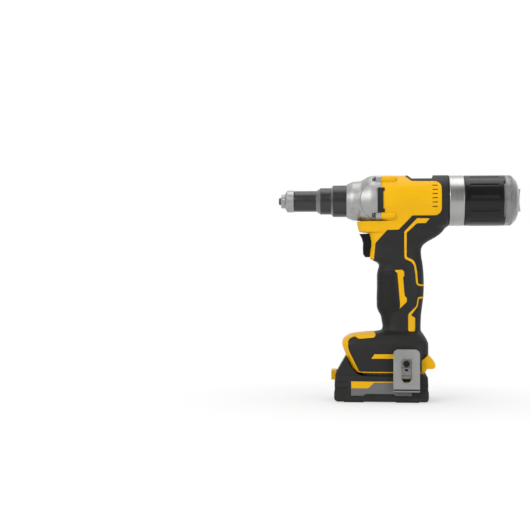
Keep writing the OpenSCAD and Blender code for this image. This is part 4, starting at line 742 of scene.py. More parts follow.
def station(z, col):
    """Value and slope of one column of the stations at a height."""
    if col == HALF_WIDTH and z >= ROUND_FROM:
        w = math.sqrt(max(1e-6, BODY_R ** 2 - (z - AXIS_Z) ** 2))
        return w, -(z - AXIS_Z) / w
    if z >= STATIONS[-1][0]:
        return STATIONS[-1][col], 0.0
    k = 0
    while k < len(STATIONS) - 2 and z > STATIONS[k + 1][0]:
        k += 1
    z0, z1 = STATIONS[k][0], STATIONS[k + 1][0]
    h = z1 - z0
    t = min(1.0, max(0.0, (z - z0) / h))
    a, b = STATIONS[k][col], STATIONS[k + 1][col]
    m0, m1 = SLOPES[col][k] * h, SLOPES[col][k + 1] * h
    value = ((2 * t ** 3 - 3 * t ** 2 + 1) * a + (t ** 3 - 2 * t ** 2 + t) * m0
             + (-2 * t ** 3 + 3 * t ** 2) * b + (t ** 3 - t ** 2) * m1)
    slope = ((6 * t * t - 6 * t) * a + (3 * t * t - 4 * t + 1) * m0
             + (-6 * t * t + 6 * t) * b + (3 * t * t - 2 * t) * m1) / h
    return value, slope


def lean(slope, steepest=STEEPEST):
    """Sine and cosine of a slope."""
    s = max(-steepest, min(steepest, slope))
    c = 1 / math.sqrt(1 + s * s)
    return s * c, c


def power(v, n):
    """One coordinate of an oval that gets squarer with n."""
    return math.copysign(abs(v) ** (2 / n), v)


def rib_share(x, z):
    """How much of the grip ribs' depth a point takes: full at the front, none on the flanks."""
    if not RIB_LOW < z < RIB_HIGH:
        return 0.0
    if z > FLARE_HIGH:
        edge = RIB_EDGE + (RIB_HIGH - z) * RIB_LEAN
    else:
        edge = LOW_EDGE + FLARE_REACH * max(0.0, (z - FLARE_LOW) / (FLARE_HIGH - FLARE_LOW)) ** 1.5
    fade = min(1.0, (z - RIB_LOW) / RIB_OUT_LOW, (RIB_HIGH - z) / RIB_OUT_HIGH)
    return max(0.0, min(1.0, (edge - x) / RIB_OUT_REAR)) * max(0.0, fade)


def dent(x, z):
    """Depth of the smooth thumb hollow behind the trigger."""
    u, v = (x - THUMB_X) / THUMB_LONG, (z - THUMB_Z) / THUMB_HIGH
    r = u * u + v * v
    return THUMB_DEPTH * (1 - r) ** 2 if r < 1 else 0.0


def fine_side(z):
    """The left side of a level ring, front to rear, in fine steps (x, y, cosine, sine)."""
    front, rear, wide, square = (station(z, c)[0] for c in (FRONT, REAR, HALF_WIDTH, SQUARENESS))
    mid, half = (front + rear) / 2, (rear - front) / 2
    rear_square = max(square, REAR_RISE * (z - REAR_FROM)) if z < REAR_TO else square
    out = []
    for k in range(RING_STEPS + 1):
        t = math.pi * k / RING_STEPS
        c, s = -math.cos(t), -math.sin(t)
        n = square if c < 0 else rear_square
        out.append((mid + half * power(c, n), wide * power(s, n), c, s))
    return out


def spread_points(fine):
    """Fewer points along a fine line, spread by its length and closest where it bends."""
    length, heading = [0.0], math.pi / -2
    for a, b in zip(fine, fine[1:]):
        way = math.atan2(b[1] - a[1], b[0] - a[0])
        bend = abs(math.remainder(way - heading, 2 * math.pi))
        length.append(length[-1] + math.hypot(b[0] - a[0], b[1] - a[1]) + CORNER_CARE * bend)
        heading = way
    count = RING_POINTS // 2
    out, k = [], 0
    for i in range(count + 1):
        goal = length[-1] * i / count
        while k < RING_STEPS - 1 and length[k + 1] < goal:
            k += 1
        part = (goal - length[k]) / max(1e-9, length[k + 1] - length[k])
        out.append([a + (b - a) * min(1.0, part) for a, b in zip(fine[k], fine[k + 1])])
    return out


def form_ring(z, d, groove=0.0):
    """One level ring of the form, set in by d along the surface."""
    front_up, front_in = lean(station(z, FRONT)[1])
    rear_up, rear_in = lean(station(z, REAR)[1])
    flank_up, flank_in = lean(station(z, HALF_WIDTH)[1], STEEPEST if z < ROUND_FROM else math.inf)
    side = []
    for x, y, c, s in spread_points(fine_side(z)):
        end_in, end_up = (front_in, -front_up) if c < 0 else (-rear_in, rear_up)
        end, flank = c * c, s * s
        deep = d + groove * rib_share(x, z) + (dent(x, z) if d <= THUMB_LAYER else 0.0)
        size = max(math.hypot(end_in * end, flank_in * flank), 1e-6)
        share = max(abs(end_in) * end + flank_in * flank, 0.7)
        side.append((x + deep * end_in * end / size * share,
                     min(0.0, y + deep * flank_in * flank / size * share),
                     z + deep * (end_up * end + flank_up * flank)))
    return side + [(x, -y, level) for x, y, level in side[-2:0:-1]]


def climb(low, high, step):
    """Values from low to below high, in even steps."""
    while low < high:
        yield low
        low += step


def form_levels(low, ribs, pitch):
    """Heights of the rings, each with its share of the ribs' depth: closest where the form bends."""
    foot = list(climb(low, FOOT_FLANK, FOOT_STEP))
    out = [(z, 0.0) for z in foot + list(climb(foot[-1] + FOOT_STEP, RIB_LOW, BEND_STEP))]
    if ribs:
        out += [(z + at * pitch, deep) for z in climb(RIB_LOW, RIB_HIGH, pitch) for at, deep in RIB_SECTION]
    else:
        out += [(z, 0.0) for z in climb(RIB_LOW, RIB_HIGH, GRIP_STEP)]
    out += [(z, 0.0) for z in climb(RIB_HIGH + 0.6, NECK_TOP, NECK_STEP)]
    out += [(z, 0.0) for z in SHOULDER]
    turns = list(climb(BODY_FROM, BODY_TO, BODY_STEP)) + [BODY_LAST]
    return out + [(AXIS_Z + BODY_R * math.sin(math.radians(a)), 0.0) for a in turns]


def outer_form(name, d, low=SKIN_LOW, ribs=False):
    """The whole form of grip and body, smaller by d, with the recess in its top."""
    sizes, _, _ = settings()
    pitch, depth = sizes.rib_pitch / MM, sizes.rib_depth / MM
    o = wrapped(name, [form_ring(z, d, g * depth) for z, g in form_levels(low, ribs, pitch)])
    floor = RECESS_FLOOR - d
    return carve(o, through("recess", [(29.4, RECESS_TOP), (36.2, floor), (60.9, floor), (63.2, RECESS_TOP)]))


# Windows and yellow pieces

# Outlines in the side view, from their corners and the rounding of each
MAIN_YELLOW = rounded((
    (-60, 300, 0), (29.5, 300, 0), (29.5, 270.8, 0.4), (36.2, 265.2, 1.5), (71.9, 264.7, 8.5),
    (71.9, 223.2, 8.5), (37.3, 223.2, 3), (20.9, 206.3, 3), (7.2, 206.0, 3), (-6.9, 190.6, 4),
    (-8.85, 168.9, 3.5), (-60, 168.9, 0)))
UPPER_BEAD = rounded((
    (42.6, 219.9, 1.0), (58.0, 219.8, 0.6), (53.2, 214.1, 0.6), (42.5, 213.8, 1.5), (30.5, 202.6, 3),
    (30.5, 173.6, 3), (40.2, 169.4, 9), (43.0, 157.0, 24), (44.3, 141.0, 2.4), (60, 140.9, 0),
    (60, 138.3, 0), (42.0, 138.5, 5), (40.7, 154.0, 30), (38.6, 166.6, 9), (27.7, 171.4, 4.5),
    (27.4, 204.0, 3)))
LOWER_BEAD = rounded((
    (60, 125.8, 0), (44.1, 125.8, 2.5), (42.1, 114.6, 6), (32.1, 104.8, 6), (32.1, 84.1, 2.5),
    (40.6, 84.1, 2.2), (40.8, 100.1, 0.4), (35.9, 103.7, 0.3), (43.7, 113.8, 5), (45.4, 123.4, 1.8),
    (60, 123.3, 0)))
FOOT_BEAD = rounded(((-12.3, 52.2, 0.5), (-8.2, 57.7, 0.5), (44.6, 58.0, 0.5), (44.6, 52.4, 0.5)))
BEADS = (UPPER_BEAD, LOWER_BEAD, FOOT_BEAD)
RIM = rounded((
    (-60, 35.4, 0), (-60, 95, 0), (-9.7, 95, 0), (-8.2, 83.0, 0.8), (-6.5, 80.6, 1.8), (-8.2, 77.2, 1.8),
    (-26.4, 75.6, 2.5), (-31.6, 78.5, 3), (-39.5, 75.4, 5.5), (-39.5, 63.8, 20), (-26.2, 36.7, 5),
    (60, 36.7, 0), (60, 35.4, 0)))
BADGE = rounded((
    (16.7, 158.1, 0.4), (27.4, 158.4, 3.6), (27.7, 150.8, 1.5), (26.2, 149.0, 1.5), (28.1, 127.0, 1.5),
    (30.8, 124.3, 1.8), (30.6, 119.6, 1.8), (21.9, 111.0, 0.3), (22.6, 115.4, 3), (19.3, 154.4, 2.5),
    (16.7, 156.2, 0.3)))
# Half the distance between left and right pieces, and the play of a yellow piece in its window
SEAM, PLAY = 0.06, 0.12
# Vents: place of the lowest, length, height, distance and number
VENT_X, VENT_Z, VENT_LONG, VENT_HIGH, VENT_PITCH, VENT_COUNT = 60.9, 232.6, 6.2, 1.8, 5.1, 6
# Places (x, z) of the clamp screws and the radius of the holes over their heads
CLAMP_SPOTS = ((34.2, 186.9), (7.7, 158.2), (39.33, 143.54), (10.83, 104.78), (37.05, 95.35),
               (-27.93, 66.02), (49.02, 63.93))
CLAMP_HOLE_R = 3.5
# Ways that the skins leave free: the trigger's slot, the battery's rails (half width and top), the tray's
# tab, the light (middle, radius and half its slanted length), the hook's screw, the spindle (ends and radius)
TRIGGER_PLAY, TRIGGER_LOW, TRIGGER_HIGH = 0.4, 172.8, 203.1
RAIL_END, RAIL_LOW = -18, 20
RAIL_WAYS = ((25.4, 42.5), (6.4, 46.8))
TAB_ROOM = [(47.4, 0), (90, 0), (90, 56.9), (55.2, 56.9), (47.4, 50.2)]
LIGHT_X, LIGHT_Z, LIGHT_R = -42.73, 77.0, 4.15
LIGHT_WAY_X, LIGHT_WAY_Z = 0.6 * 16, 0.8 * 16
HOOK_X, HOOK_Z, HOOK_HOLE_R = 29.6, 46.5, 3.3
SPINDLE_WAYS = ((70, 90, 9), (-10, 6, 27))
# Fingers behind the gear housing's screws: place across, height over the spindle and radius, then ends
FAIRINGS = ((18.0, 25.0, 4.1), (24.5, -18.5, 4.7))
FAIRING_START, FAIRING_TIP = 0.1, 19.0


def grown(outline, d):
    """An outline moved outwards by d along its own edges."""
    ahead = outline[1:] + outline[:1]
    area = sum(x0 * z1 - x1 * z0 for (x0, z0), (x1, z1) in zip(outline, ahead))
    sign = 1 if area > 0 else -1
    out = []
    for i, (x1, z1) in enumerate(outline):
        (x0, z0), (x2, z2) = outline[i - 1], ahead[i]
        a, b = math.hypot(x1 - x0, z1 - z0), math.hypot(x2 - x1, z2 - z1)
        u = ((z1 - z0) / a * sign, -(x1 - x0) / a * sign)
        v = ((z2 - z1) / b * sign, -(x2 - x1) / b * sign)
        k = d / max(0.35, 1 + u[0] * v[0] + u[1] * v[1])
        out.append((x1 + (u[0] + v[0]) * k, z1 + (u[1] + v[1]) * k))
    return out


def common_cuts(obj):
    """Cuts the ways for trigger, battery rails, tray, light, hook screw and spindle."""
    half = box_mm("trigger")[1][1] + TRIGGER_PLAY
    carve(obj, block("trigger_way", (-45, -half, TRIGGER_LOW), (1, half, TRIGGER_HIGH)))
    for half, top in RAIL_WAYS:
        carve(obj, block("rail_way", (-FAR, -half, RAIL_LOW), (RAIL_END, half, top)))
    carve(obj, through("tray_way", TAB_ROOM))
    start, end = ((LIGHT_X + k * LIGHT_WAY_X, 0, LIGHT_Z - k * LIGHT_WAY_Z) for k in (1, -1))
    carve(obj, rod("light_way", start, end, LIGHT_R))
    carve(obj, rod("screw_way", (HOOK_X, -REACH, HOOK_Z), (HOOK_X, REACH, HOOK_Z), HOOK_HOLE_R))
    for x0, x1, r in SPINDLE_WAYS:
        carve(obj, spindle_rod("spindle_way", x0, x1, r))
    return obj


def halves(obj, name):
    """Splits a piece at the middle into a left and a right one."""
    right = twin(obj, "right_" + name)
    carve(obj, block("side", (-FAR, SEAM, 0), (FAR, REACH, FAR)))
    carve(right, block("side", (-FAR, -REACH, 0), (FAR, -SEAM, FAR)))
    obj.name = "left_" + name
    return [obj, right]


class RIVET_OT_grip_skin(bpy.types.Operator):
    """Makes the two halves of the rubber skin, with their windows, ribs and thumb hollow"""

    bl_idname = "rivet.grip_skin"
    bl_label = "Grip skin"

    def execute(self, context):
        sizes, _, _ = settings()
        skin = outer_form("grip_skin", 0.0, ribs=True)
        carve(skin, outer_form("core", sizes.skin / MM, low=CORE_LOW))
        for outline in (MAIN_YELLOW, RIM, BADGE) + BEADS:
            carve(skin, through("window", outline))
        left, right = halves(common_cuts(skin), "skin")
        for x, z in CLAMP_SPOTS:
            carve(right, rod("screw_way", (x, 5, z), (x, REACH, z), CLAMP_HOLE_R, 32))
        for o, n in ((left, "left_overmould"), (right, "right_overmould")):
            clean(o, 0.01 * MM)
            round_edges(o, sizes.edge * 0.8, 2, 55)
            finish(o, "tool", "black_rubber", n, angle=38)
        return {"FINISHED"}


class RIVET_OT_yellow_covers(bpy.types.Operator):
    """Makes the yellow covers, the beads and rims that show in the skin, and the badges"""

    bl_idname = "rivet.yellow_covers"
    bl_label = "Yellow covers"

    def execute(self, context):
        sizes, _, _ = settings()
        core = outer_form("core", sizes.skin / MM, low=CORE_LOW)
        covers = self.covers(core, sizes.shell_drop / MM)
        bead = self.layer("bead", -sizes.bead / MM, core)
        *lines, badge = [self.framed(twin(bead, "line"), outline) for outline in BEADS + (BADGE,)]
        drop(bead)
        beads = halves(weld(lines, "beads"), "beads")
        badges = halves(badge, "badges")
        rims = halves(self.framed(self.layer("rim", -sizes.rim / MM, core), RIM), "rim")
        drop(core)
        for o in covers + beads + badges + rims:
            clean(o, 0.01 * MM)
            round_edges(o, sizes.edge * (2.0 if o in rims else 1.1), 3, 55)
        finish(weld(badges, "badges"), "tool", "yellow_plastic", "grip_badges", angle=38)
        for o in covers + beads + rims:
            finish(o, "tool", "yellow_plastic", angle=38)
        self.fairings()
        return {"FINISHED"}

    def layer(self, name, depth, core):
        """A layer over the core, below the rubber by a depth, or above it where that is negative."""
        return common_cuts(carve(outer_form(name, depth), core, keep=True))

    def framed(self, layer, outline):
        """The part of a layer that fills one window."""
        return carve(layer, through("frame", grown(outline, -PLAY)), "INTERSECT")

    def covers(self, core, depth):
        """The two halves of the main cover, with the vents."""
        cover = self.framed(self.layer("cover", depth, core), MAIN_YELLOW)
        for k in range(VENT_COUNT):
            z = VENT_Z + VENT_PITCH * k
            carve(cover, block("vent", (VENT_X, -REACH, z), (VENT_X + VENT_LONG, REACH, z + VENT_HIGH)))
        return halves(cover, "cover")

    def fairings(self):
        """The four fingers that run back from the gear housing's screws."""
        made = []
        for y, z, r in FAIRINGS:
            for at in (-y, y):
                o = rod("screw_fairing", (FAIRING_START, at, AXIS_Z + z), (FAIRING_TIP, at, AXIS_Z + z), r)
                with editing(o, "EDGE") as bm:
                    pick_edges(bm, o, lambda e: all(v.co.x > (FAIRING_TIP - 1) * MM for v in e.verts))
                    bpy.ops.mesh.bevel(offset=0.97 * r * MM, segments=10, affect="EDGES")
                made.append(o)
        finish(weld(made, "screw_fairings"), "tool", "yellow_plastic", angle=50)


# Nose, collector, hook and battery

class RIVET_OT_gear_housing(bpy.types.Operator):
    """Dresses the cast gear housing, its screws and the side bumpers"""

    bl_idname = "rivet.gear_housing"
    bl_label = "Gear housing"

    def execute(self, context):
        dressed("gear_housing", "tool", "cast_alloy", 0.6, 3, 30)
        dressed("machine_screws", "tool", "dark_steel", 0.15)
        dressed("side_bumpers", "tool", "black_rubber", 0.5, 3)
        return {"FINISHED"}


class RIVET_OT_nose(bpy.types.Operator):
    """Dresses the nose: barrel with painted highlight on its chamfers, cap and nosepiece"""

    bl_idname = "rivet.nose"
    bl_label = "Nose"
    # Small and large end (x, radius) of the barrel's two chamfers, whose highlight is painted by rings of
    # lighter metal, and how deep these rings reach
    chamfers = ((-78.9, 12.7, -73.6, 16.2), (-60.9, 16.2, -58.1, 19.3))
    depth = 0.3

    def execute(self, context):
        dressed("nose_barrel", "tool", "black_anodised", 0.35, 3, 25)
        for x0, r0, x1, r1 in self.chamfers:
            # Rings of lighter metal over the chamfers: painted highlight
            cone = turned("chamfer_highlight_ring", [
                (x0, r0 - self.depth), (x0, r0 + 0.1), (x1, r1 + 0.08), (x1, r1 - self.depth)])
            finish(cone, "tool", "bright_steel", look="bare_chamfer")
        dressed("nosepiece", "tool", "dark_steel", 0.25, 2, 30)
        self.cap()
        return {"FINISHED"}

    def cap(self):
        """The nose cap, turned, with the flats for its wrench cut on its front."""
        (x0, _, _), (x1, r, _) = box_mm("nose_cap")
        face, hole, bore, neck = 8.5, 4.05, 8.6, 10.5
        flat, tip_long, cone_long, wall, spigot = 3.4, 4.2, 7.3, 8, 6.0
        collar = x1 - spigot
        o = turned("nose_cap_piece", [
            (x0, hole), (x0, face - 0.5), (x0 + 0.5, face), (x0 + tip_long, face), (x0 + cone_long, r - 0.3),
            (x0 + 7.9, r), (collar - 0.7, r), (collar, r - 0.6), (collar, neck), (x1, neck), (x1, bore),
            (x0 + wall, bore), (x0 + wall, hole)])
        flats = spindle_rod("flats", x0 - 2, x0 + flat, r + 2)
        carve(flats, spindle_rod("hexagon", x0 - 3, x0 + 5, face * 1.07, 6))
        carve(o, flats)
        round_edges(o, 0.25 * MM, 2, 25)
        finish(o, "tool", "cast_alloy", "nose_cap", angle=28, look="turned_cap")


class RIVET_OT_collector(bpy.types.Operator):
    """Dresses the mandrel collector: ring, sleeve and clear cup"""

    bl_idname = "rivet.collector"
    bl_label = "Mandrel collector"

    def execute(self, context):
        dressed("rear_ring", "tool", "turned_alloy", 0.4, 3)
        dressed("collector_sleeve", "collector", "black_plastic", 0.3, 2, look="glossy_black")
        self.cup()
        return {"FINISHED"}

    def cup(self):
        """The clear end: a turned dome with a moulded grip bar across it."""
        (x0, _, _), (x1, r, _) = box_mm("mandrel_cup")
        skirt, skirt_long, wall = 27.8, 10, 2.2
        bar, bar_root, bar_half, bar_reach, bar_hollow, hollow_r = 2.9, 3.8, 4, 13.5, 1.2, 76
        rim, end = x0 + skirt_long, x1 - bar
        tip = end + bar
        # The dome's outline as shares of its length and radius
        dome = [(0.46, 1.0), (0.82, 0.80), (0.97, 0.61), (1.0, 0.46)]
        outer = [(rim + k * (end - rim), f * r) for k, f in dome]
        inner = [(x - wall, f - wall) for x, f in reversed(outer)]
        base = [(x0, skirt - wall), (x0, skirt), (rim, skirt), (rim, r)]
        o = turned("mandrel_cup_piece", base + outer + [(end, 0), (end - wall, 0)] + inner)
        round_edges(o, 1.2 * MM, 4, 12)
        grip = block("bar", (end - bar_root, -bar_half, AXIS_Z - bar_reach),
                     (tip, bar_half, AXIS_Z + bar_reach))
        x, y = tip + hollow_r - bar_hollow, 2 * bar_half
        carve(grip, rod("hollow", (x, -y, AXIS_Z), (x, y, AXIS_Z), hollow_r, 256))
        round_edges(grip, 0.9 * MM, 3)
        carve(o, grip, "UNION")
        finish(o, "collector", "smoke_plastic", "mandrel_cup", angle=45)


class RIVET_OT_trigger(bpy.types.Operator):
    """Dresses the trigger and its spring"""

    bl_idname = "rivet.trigger"
    bl_label = "Trigger"

    def execute(self, context):
        dressed("trigger", "trigger", "black_plastic", 0.4, 3, look="glossy_black")
        sprung("trigger_spring", "trigger")
        return {"FINISHED"}


class RIVET_OT_belt_hook(bpy.types.Operator):
    """Dresses the belt hook and its screw, with painted shade in the hook's fold"""

    bl_idname = "rivet.belt_hook"
    bl_label = "Belt hook"
    # Outer and inner edge of the groove round the slot: lower end, upper end, half width and corners
    ring_outer, ring_inner = (23.2, 54.7, 7.8, 4.3), (24.0, 53.9, 7.0, 3.5)
    # Heights of the fold, then half width and heights of the window and of the eye
    fold_low, fold_high = 15.5, 17.1
    window, eye = (5.2, 21.5, 28.6), (1.9, 38.0, 40.4)
    # Lower edges of the two creases, their half length and width
    creases, crease_half, crease_wide = (32.0, 41.8), 12, 0.7

    def execute(self, context):
        (x0, outer, _), (x1, inner, _) = box_mm("belt_hook")
        x = (x0 + x1) / 2
        o = taken("belt_hook", "belt_hook_piece")
        carve(o, self.ring(x, outer))
        carve(o, block("fold", (x - 20, outer - 1, self.fold_low), (x + 20, outer + 0.7, self.fold_high)))
        # A glossy black strip laid in the fold's groove is painted shade
        line = block("hook_fold_painted_shade", (x0 + 0.3, outer + 0.15, self.fold_low),
                     (x1 - 0.3, outer + 0.75, self.fold_high))
        round_edges(line, 0.1 * MM, 2)
        finish(line, "tool", "hook_steel", look="glossy_black")
        self.opening(o, x, inner, *self.window)
        for z in self.creases:
            carve(o, block("crease", (x - self.crease_half, inner - 2, z),
                           (x + self.crease_half, inner - 1.2, z + self.crease_wide)))
        self.opening(o, x, inner, *self.eye)
        round_edges(o, 0.3 * MM, 2, 40, clamp=False)
        finish(o, "tool", "hook_steel", "belt_hook")
        dressed("belt_hook_screw", "tool", "dark_steel", 0.2, look="glossy_black")
        return {"FINISHED"}

    def opening(self, obj, x, inner, half, low, high):
        """A square opening in the hook's inner leg."""
        carve(obj, block("opening", (x - half, inner - 3, low), (x + half, inner + 1, high)))

    def ring(self, x, outer):
        """The groove round the slot."""
        ring = plate("ring", self.slot(x, *self.ring_outer), outer - 1, outer + 0.4)
        return carve(ring, plate("inside", self.slot(x, *self.ring_inner), outer - 2, outer + 2))

    def slot(self, x, low, high, half, corner):
        """An upright slot, round below and with small corners above."""
        edge = half - corner
        return (arc(x + edge, high - corner, corner, 0, 90, 6)
                + arc(x - edge, high - corner, corner, 90, 180, 6)
                + arc(x, low + half, half, 180, 360))


class RIVET_OT_battery(bpy.types.Operator):
    """Dresses the battery, its panels and its latch"""

    bl_idname = "rivet.battery"
    bl_label = "Battery"
    # Bumper round the foot: its scale, its height, and the opening on each long side
    bumper_scale, bumper_low, bumper_high = (1.008, 1.018, 1), 2.0, 13.2
    opening_reach, opening_inner, opening_low = 46, 30, 7.0
    # Pads below: their ends along the battery, and how far the rest stands off the ground
    pads, pad_rise = ((-44.5, -21), (17.2, 44.6)), 0.9
    # Grooves of the latch button: lower edges, width, depth and half length
    grooves, groove_wide, groove_deep, groove_half = (27.6, 30.3, 33.0), 1.1, 0.7, 10.5

    def execute(self, context):
        self.base()
        self.cover()
        self.labels()
        self.button()
        sprung("latch_spring", "battery")
        return {"FINISHED"}

    def base(self):
        """The lower half, with a bumper round its foot and raised pads below."""
        o = stretched(taken("battery_base", "battery_base_piece"), (0.98, 1, 1))
        bumper = stretched(twin(o, "bumper"), self.bumper_scale)
        for y0, y1 in ((-REACH, -self.opening_inner), (self.opening_inner, REACH)):
            carve(bumper, block("opening", (-self.opening_reach, y0, self.opening_low),
                                (self.opening_reach, y1, 40)))
        zone = block("zone", (-FAR, -REACH, self.bumper_low), (FAR, REACH, self.bumper_high))
        carve(bumper, zone, "INTERSECT")
        carve(o, bumper, "UNION")
        end, low = max(abs(c[0]) for c in o.bound_box) / MM, self.pad_rise
        foot = [(-end, 60, 0), (-end, low, 5)]
        for x0, x1 in self.pads:
            foot += [(x0, low, 0), (x0, -1, 0), (x1, -1, 0), (x1, low, 0)]
        foot += [(end, low, 4), (end, 60, 0)]
        carve(o, through("foot", rounded(foot)), "INTERSECT")
        round_edges(o, 0.35 * MM, 2, 40, clamp=False)
        finish(o, "battery", "black_plastic", "battery_base")

    def cover(self):
        """The upper half, drawn in at its ends like the lower one."""
        o = stretched(taken("battery_cover", "battery_cover_piece"), (0.985, 1, 1))
        round_edges(o, 0.35 * MM, 2, 40, clamp=False)
        finish(o, "battery", "black_plastic", "battery_cover")

    def labels(self):
        """The side panels, stepped at their lower edge, each with a plain yellow strip."""
        o = taken("battery_panels", "battery_panels_piece")
        step = [(-21.6, 0), (17.6, 0), (17.6, 7.8), (15, 10.4), (-18.6, 10.4), (-21.6, 7.8)]
        carve(o, through("step", step))
        round_edges(o, 0.2 * MM, 2, 40, clamp=False)
        finish(o, "battery", "grey_panel", "battery_panels")
        lo, hi = box_mm("battery_panels")
        x0, x1, y, z1 = lo[0] + 0.4, hi[0] - 0.4, hi[1], hi[2] - 0.3
        outline = [(x0, z1), (x1, z1), (x1, z1 - 1.1), (-7.7, z1 - 1.1), (-9.6, z1 - 2.0), (-14.6, 17.7),
                   (-16.4, 17.0), (x0, 17.0)]
        strips = [plate("label_strip", outline, side * (y - 0.2), side * (y + 0.12)) for side in (-1, 1)]
        for strip in strips:
            clean(strip)
            round_edges(strip, 0.06 * MM, 1, 40)
        finish(weld(strips, "label_strips"), "battery", "yellow_plastic")

    def button(self):
        """The latch button, with three grooves for the finger."""
        o = taken("battery_latch", "battery_latch_piece")
        front = box_mm("battery_latch")[0][0]
        for z in self.grooves:
            carve(o, block("groove", (front - 1, -self.groove_half, z),
                           (front + self.groove_deep, self.groove_half, z + self.groove_wide)))
        round_edges(o, 0.3 * MM, 2, 40, clamp=False)
        finish(o, "latch", "yellow_plastic", "battery_latch")


class RIVET_OT_tray(bpy.types.Operator):
    """Dresses the pull-out tray for spare nosepieces"""

    bl_idname = "rivet.tray"
    bl_label = "Nosepiece tray"
    # Outline of the pull tab in the side view
    tab = rounded((
        (47.8, 36.9, 0.4), (52.9, 37.4, 0.8), (53.7, 40.4, 0.8), (63.7, 40.4, 3.4), (64.0, 47.3, 6),
        (55.2, 56.4, 0.5), (48.4, 50.6, 0.5), (47.8, 49.8, 0.4)))
    # Heights around the tray, ends of the drawer and of the tab's narrower part, and width of its step
    low, high, drawer_front, drawer_rear, step_x, step = 30, 60, 30, 50, 53.4, 0.6
    # Front face of the tab's upper edge, its foot and the rim beside it
    lip_x, lip_z, lip_rim = 55.0, 53.4, 1.3
    # Play of the spare nosepieces in their pocket
    play = 0.3

    def execute(self, context):
        o = taken("nosepiece_tray", "nosepiece_tray_piece")
        half = box_mm("nosepiece_tray")[1][1]
        carve(o, block("drawer", (self.drawer_front, -half - 1, self.low),
                       (self.drawer_rear, half + 1, self.high)), "INTERSECT")
        carve(o, self.pull_tab(half), "UNION")
        lo, hi = box_mm("spare_nosepieces")
        top = (hi[0] + self.play, hi[1] + self.play, self.high)
        carve(o, block("pocket", [c - self.play for c in lo], top))
        finish(o, "tray", "yellow_plastic", "nosepiece_tray", angle=40)
        return {"FINISHED"}

    def pull_tab(self, half):
        """The tab that the finger pulls, narrower outside the foot than at its root."""
        tab = plate("tab", self.tab, -half, half)
        for y0, y1 in ((-half - 1, self.step - half), (half - self.step, half + 1)):
            carve(tab, block("step", (self.step_x, y0, self.low), (70, y1, self.high)))
        round_edges(tab, 1.1 * MM, 4, 35)
        rim = half - self.lip_rim
        return carve(tab, block("behind", (40, -rim, self.lip_z), (self.lip_x, rim, self.high)))


# Stage

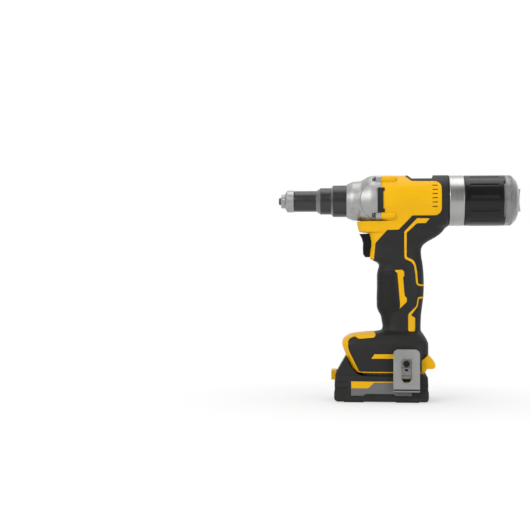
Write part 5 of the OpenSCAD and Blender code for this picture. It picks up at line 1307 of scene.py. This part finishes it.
class RIVET_OT_stage(bpy.types.Operator):
    """Sets up floor, backdrop, light and camera"""

    bl_idname = "rivet.stage"
    bl_label = "Stage"
    # Where the lamps aim, and each lamp's name, place, width and share of the main power
    aim = Vector((0.02, 0, 0.14))
    plan = (("key", (-0.85, -1.25, 0.95), 1.0, 1.0), ("fill", (1.0, -1.35, 0.5), 1.0, 0.5),
            ("top", (0.05, 0.1, 1.45), 1.1, 0.45))
    # Place and heading of the camera, in metres and radians
    camera_at = (-0.007859, -1.5, 0.157209)
    yaw, pitch = -0.0893542347, 0.00457294048

    def execute(self, context):
        _, _, st = settings()
        self.floor(tuple(st.floor))
        self.world()
        self.lamps(st.light)
        self.camera(st.fov)
        context.scene.view_settings.view_transform = "Standard"
        return {"FINISHED"}

    def floor(self, colour):
        """A pale floor that keeps the shadow near the object and turns white away from it."""
        fresh()
        bpy.ops.mesh.primitive_plane_add(size=1, location=(0, 0, CAD_BOX[0][2]))
        o = bpy.context.object
        o.scale = (8, 8, 1)
        seat(o, "floor")
        with editing(o):
            bpy.ops.mesh.select_all(action="SELECT")
            bpy.ops.mesh.subdivide(number_cuts=3)
        m = bpy.data.materials.new("floor")
        m.use_nodes = True
        nt = m.node_tree
        bsdf = nt.nodes["Principled BSDF"]
        bsdf.inputs["Roughness"].default_value = 0.8
        bsdf.inputs["Specular IOR Level"].default_value = 0.1
        tint(nt, bsdf, noise(nt, place(nt), scale=1.5, detail=2), shift(colour, 0.99), shift(colour, 1.01))
        away = node(nt, "ShaderNodeVectorMath", operation="LENGTH")
        nt.links.new(place(nt), away.inputs[0])
        path = node(nt, "ShaderNodeLightPath").outputs
        direct = combined(nt, "MAXIMUM", path["Is Camera Ray"], path["Is Glossy Ray"])
        seen = combined(nt, "MAXIMUM", direct, path["Is Transmission Ray"])
        near, far, near_white = 0.06, 0.26, 0.55
        amount = combined(nt, "MULTIPLY", span(nt, away.outputs["Value"], near_white, 1.0, near, far), seen)
        white = node(nt, "ShaderNodeEmission")
        mixed(nt, amount, bsdf.outputs["BSDF"], white.outputs["Emission"], "Material Output")
        o.data.materials.append(m)

    def world(self):
        """A white backdrop, plain white where it is seen, and a room that is darker on the camera's side."""
        w = bpy.data.worlds.new("studio")
        bpy.context.scene.world = w
        w.use_nodes = True
        nt = w.node_tree
        soft = nt.nodes["Background"]
        soft.inputs["Color"].default_value = (1, 1, 1, 1)
        coords = node(nt, "ShaderNodeTexCoord")
        way = node(nt, "ShaderNodeSeparateXYZ")
        nt.links.new(coords.outputs["Generated"], way.inputs["Vector"])
        nt.links.new(span(nt, way.outputs["Y"], 0.10, 0.55, -0.95, 0.0), soft.inputs["Strength"])
        white = node(nt, "ShaderNodeBackground")
        white.inputs["Color"].default_value = (1, 1, 1, 1)
        path = node(nt, "ShaderNodeLightPath").outputs
        behind = span(nt, way.outputs["Y"], 0.0, 1.0, 0.0, 0.6)
        mirrored = combined(nt, "MULTIPLY", path["Is Glossy Ray"], behind)
        direct = combined(nt, "MAXIMUM", path["Is Camera Ray"], path["Is Transmission Ray"])
        seen = combined(nt, "MAXIMUM", direct, mirrored)
        mixed(nt, seen, soft.outputs["Background"], white.outputs["Background"], "World Output")

    def lamps(self, power):
        """Three round lamps that aim at the tool."""
        for name, at, size, share in self.plan:
            fresh()
            bpy.ops.object.light_add(type="AREA", location=at)
            lamp = bpy.context.object
            lamp.name = name
            lamp.data.shape = "DISK"
            lamp.data.size = size
            lamp.data.energy = power * share
            lamp.rotation_euler = (self.aim - Vector(at)).to_track_quat("-Z", "Y").to_euler()

    def camera(self, fov):
        """The camera, level with the grip and turned slightly to the left."""
        fresh()
        bpy.ops.object.camera_add(location=self.camera_at)
        cam = bpy.context.object
        cam.name = "camera"
        level = math.cos(self.pitch)
        look = Vector((math.sin(self.yaw) * level, math.cos(self.yaw) * level, math.sin(self.pitch)))
        cam.rotation_euler = look.to_track_quat("-Z", "Y").to_euler()
        cam.data.sensor_fit = "HORIZONTAL"
        cam.data.angle = fov
        cam.data.clip_end = 50
        bpy.context.scene.camera = cam


# Add-on

class RIVET_PT_panel(bpy.types.Panel):
    """Lists the steps and their settings"""

    bl_idname = "RIVET_PT_panel"
    bl_label = "Rivet tool"
    bl_space_type = "VIEW_3D"
    bl_region_type = "UI"
    bl_category = "Rivet tool"

    def draw(self, context):
        col = self.layout.column()
        for group in settings():
            for key in group.__annotations__:
                col.prop(group, key)
        for op in STEPS:
            col.operator(op.bl_idname)


STEPS = (RIVET_OT_finishes, RIVET_OT_grip_skin, RIVET_OT_yellow_covers, RIVET_OT_gear_housing,
         RIVET_OT_nose, RIVET_OT_collector, RIVET_OT_trigger, RIVET_OT_belt_hook, RIVET_OT_battery,
         RIVET_OT_tray, RIVET_OT_stage)
GROUPS = {"rivet_sizes": RivetSizes, "rivet_colours": RivetColours, "rivet_stage": RivetStage}


def register():
    for name, group in GROUPS.items():
        bpy.utils.register_class(group)
        setattr(bpy.types.Scene, name, bpy.props.PointerProperty(type=group))
    for cls in STEPS + (RIVET_PT_panel,):
        bpy.utils.register_class(cls)


def unregister():
    for cls in reversed(STEPS + (RIVET_PT_panel,)):
        bpy.utils.unregister_class(cls)
    for name, group in GROUPS.items():
        delattr(bpy.types.Scene, name)
        bpy.utils.unregister_class(group)


def main():
    register()
    for step in STEPS:
        group, name = step.bl_idname.split(".")
        getattr(getattr(bpy.ops, group), name)()


if __name__ == "__main__":
    main()
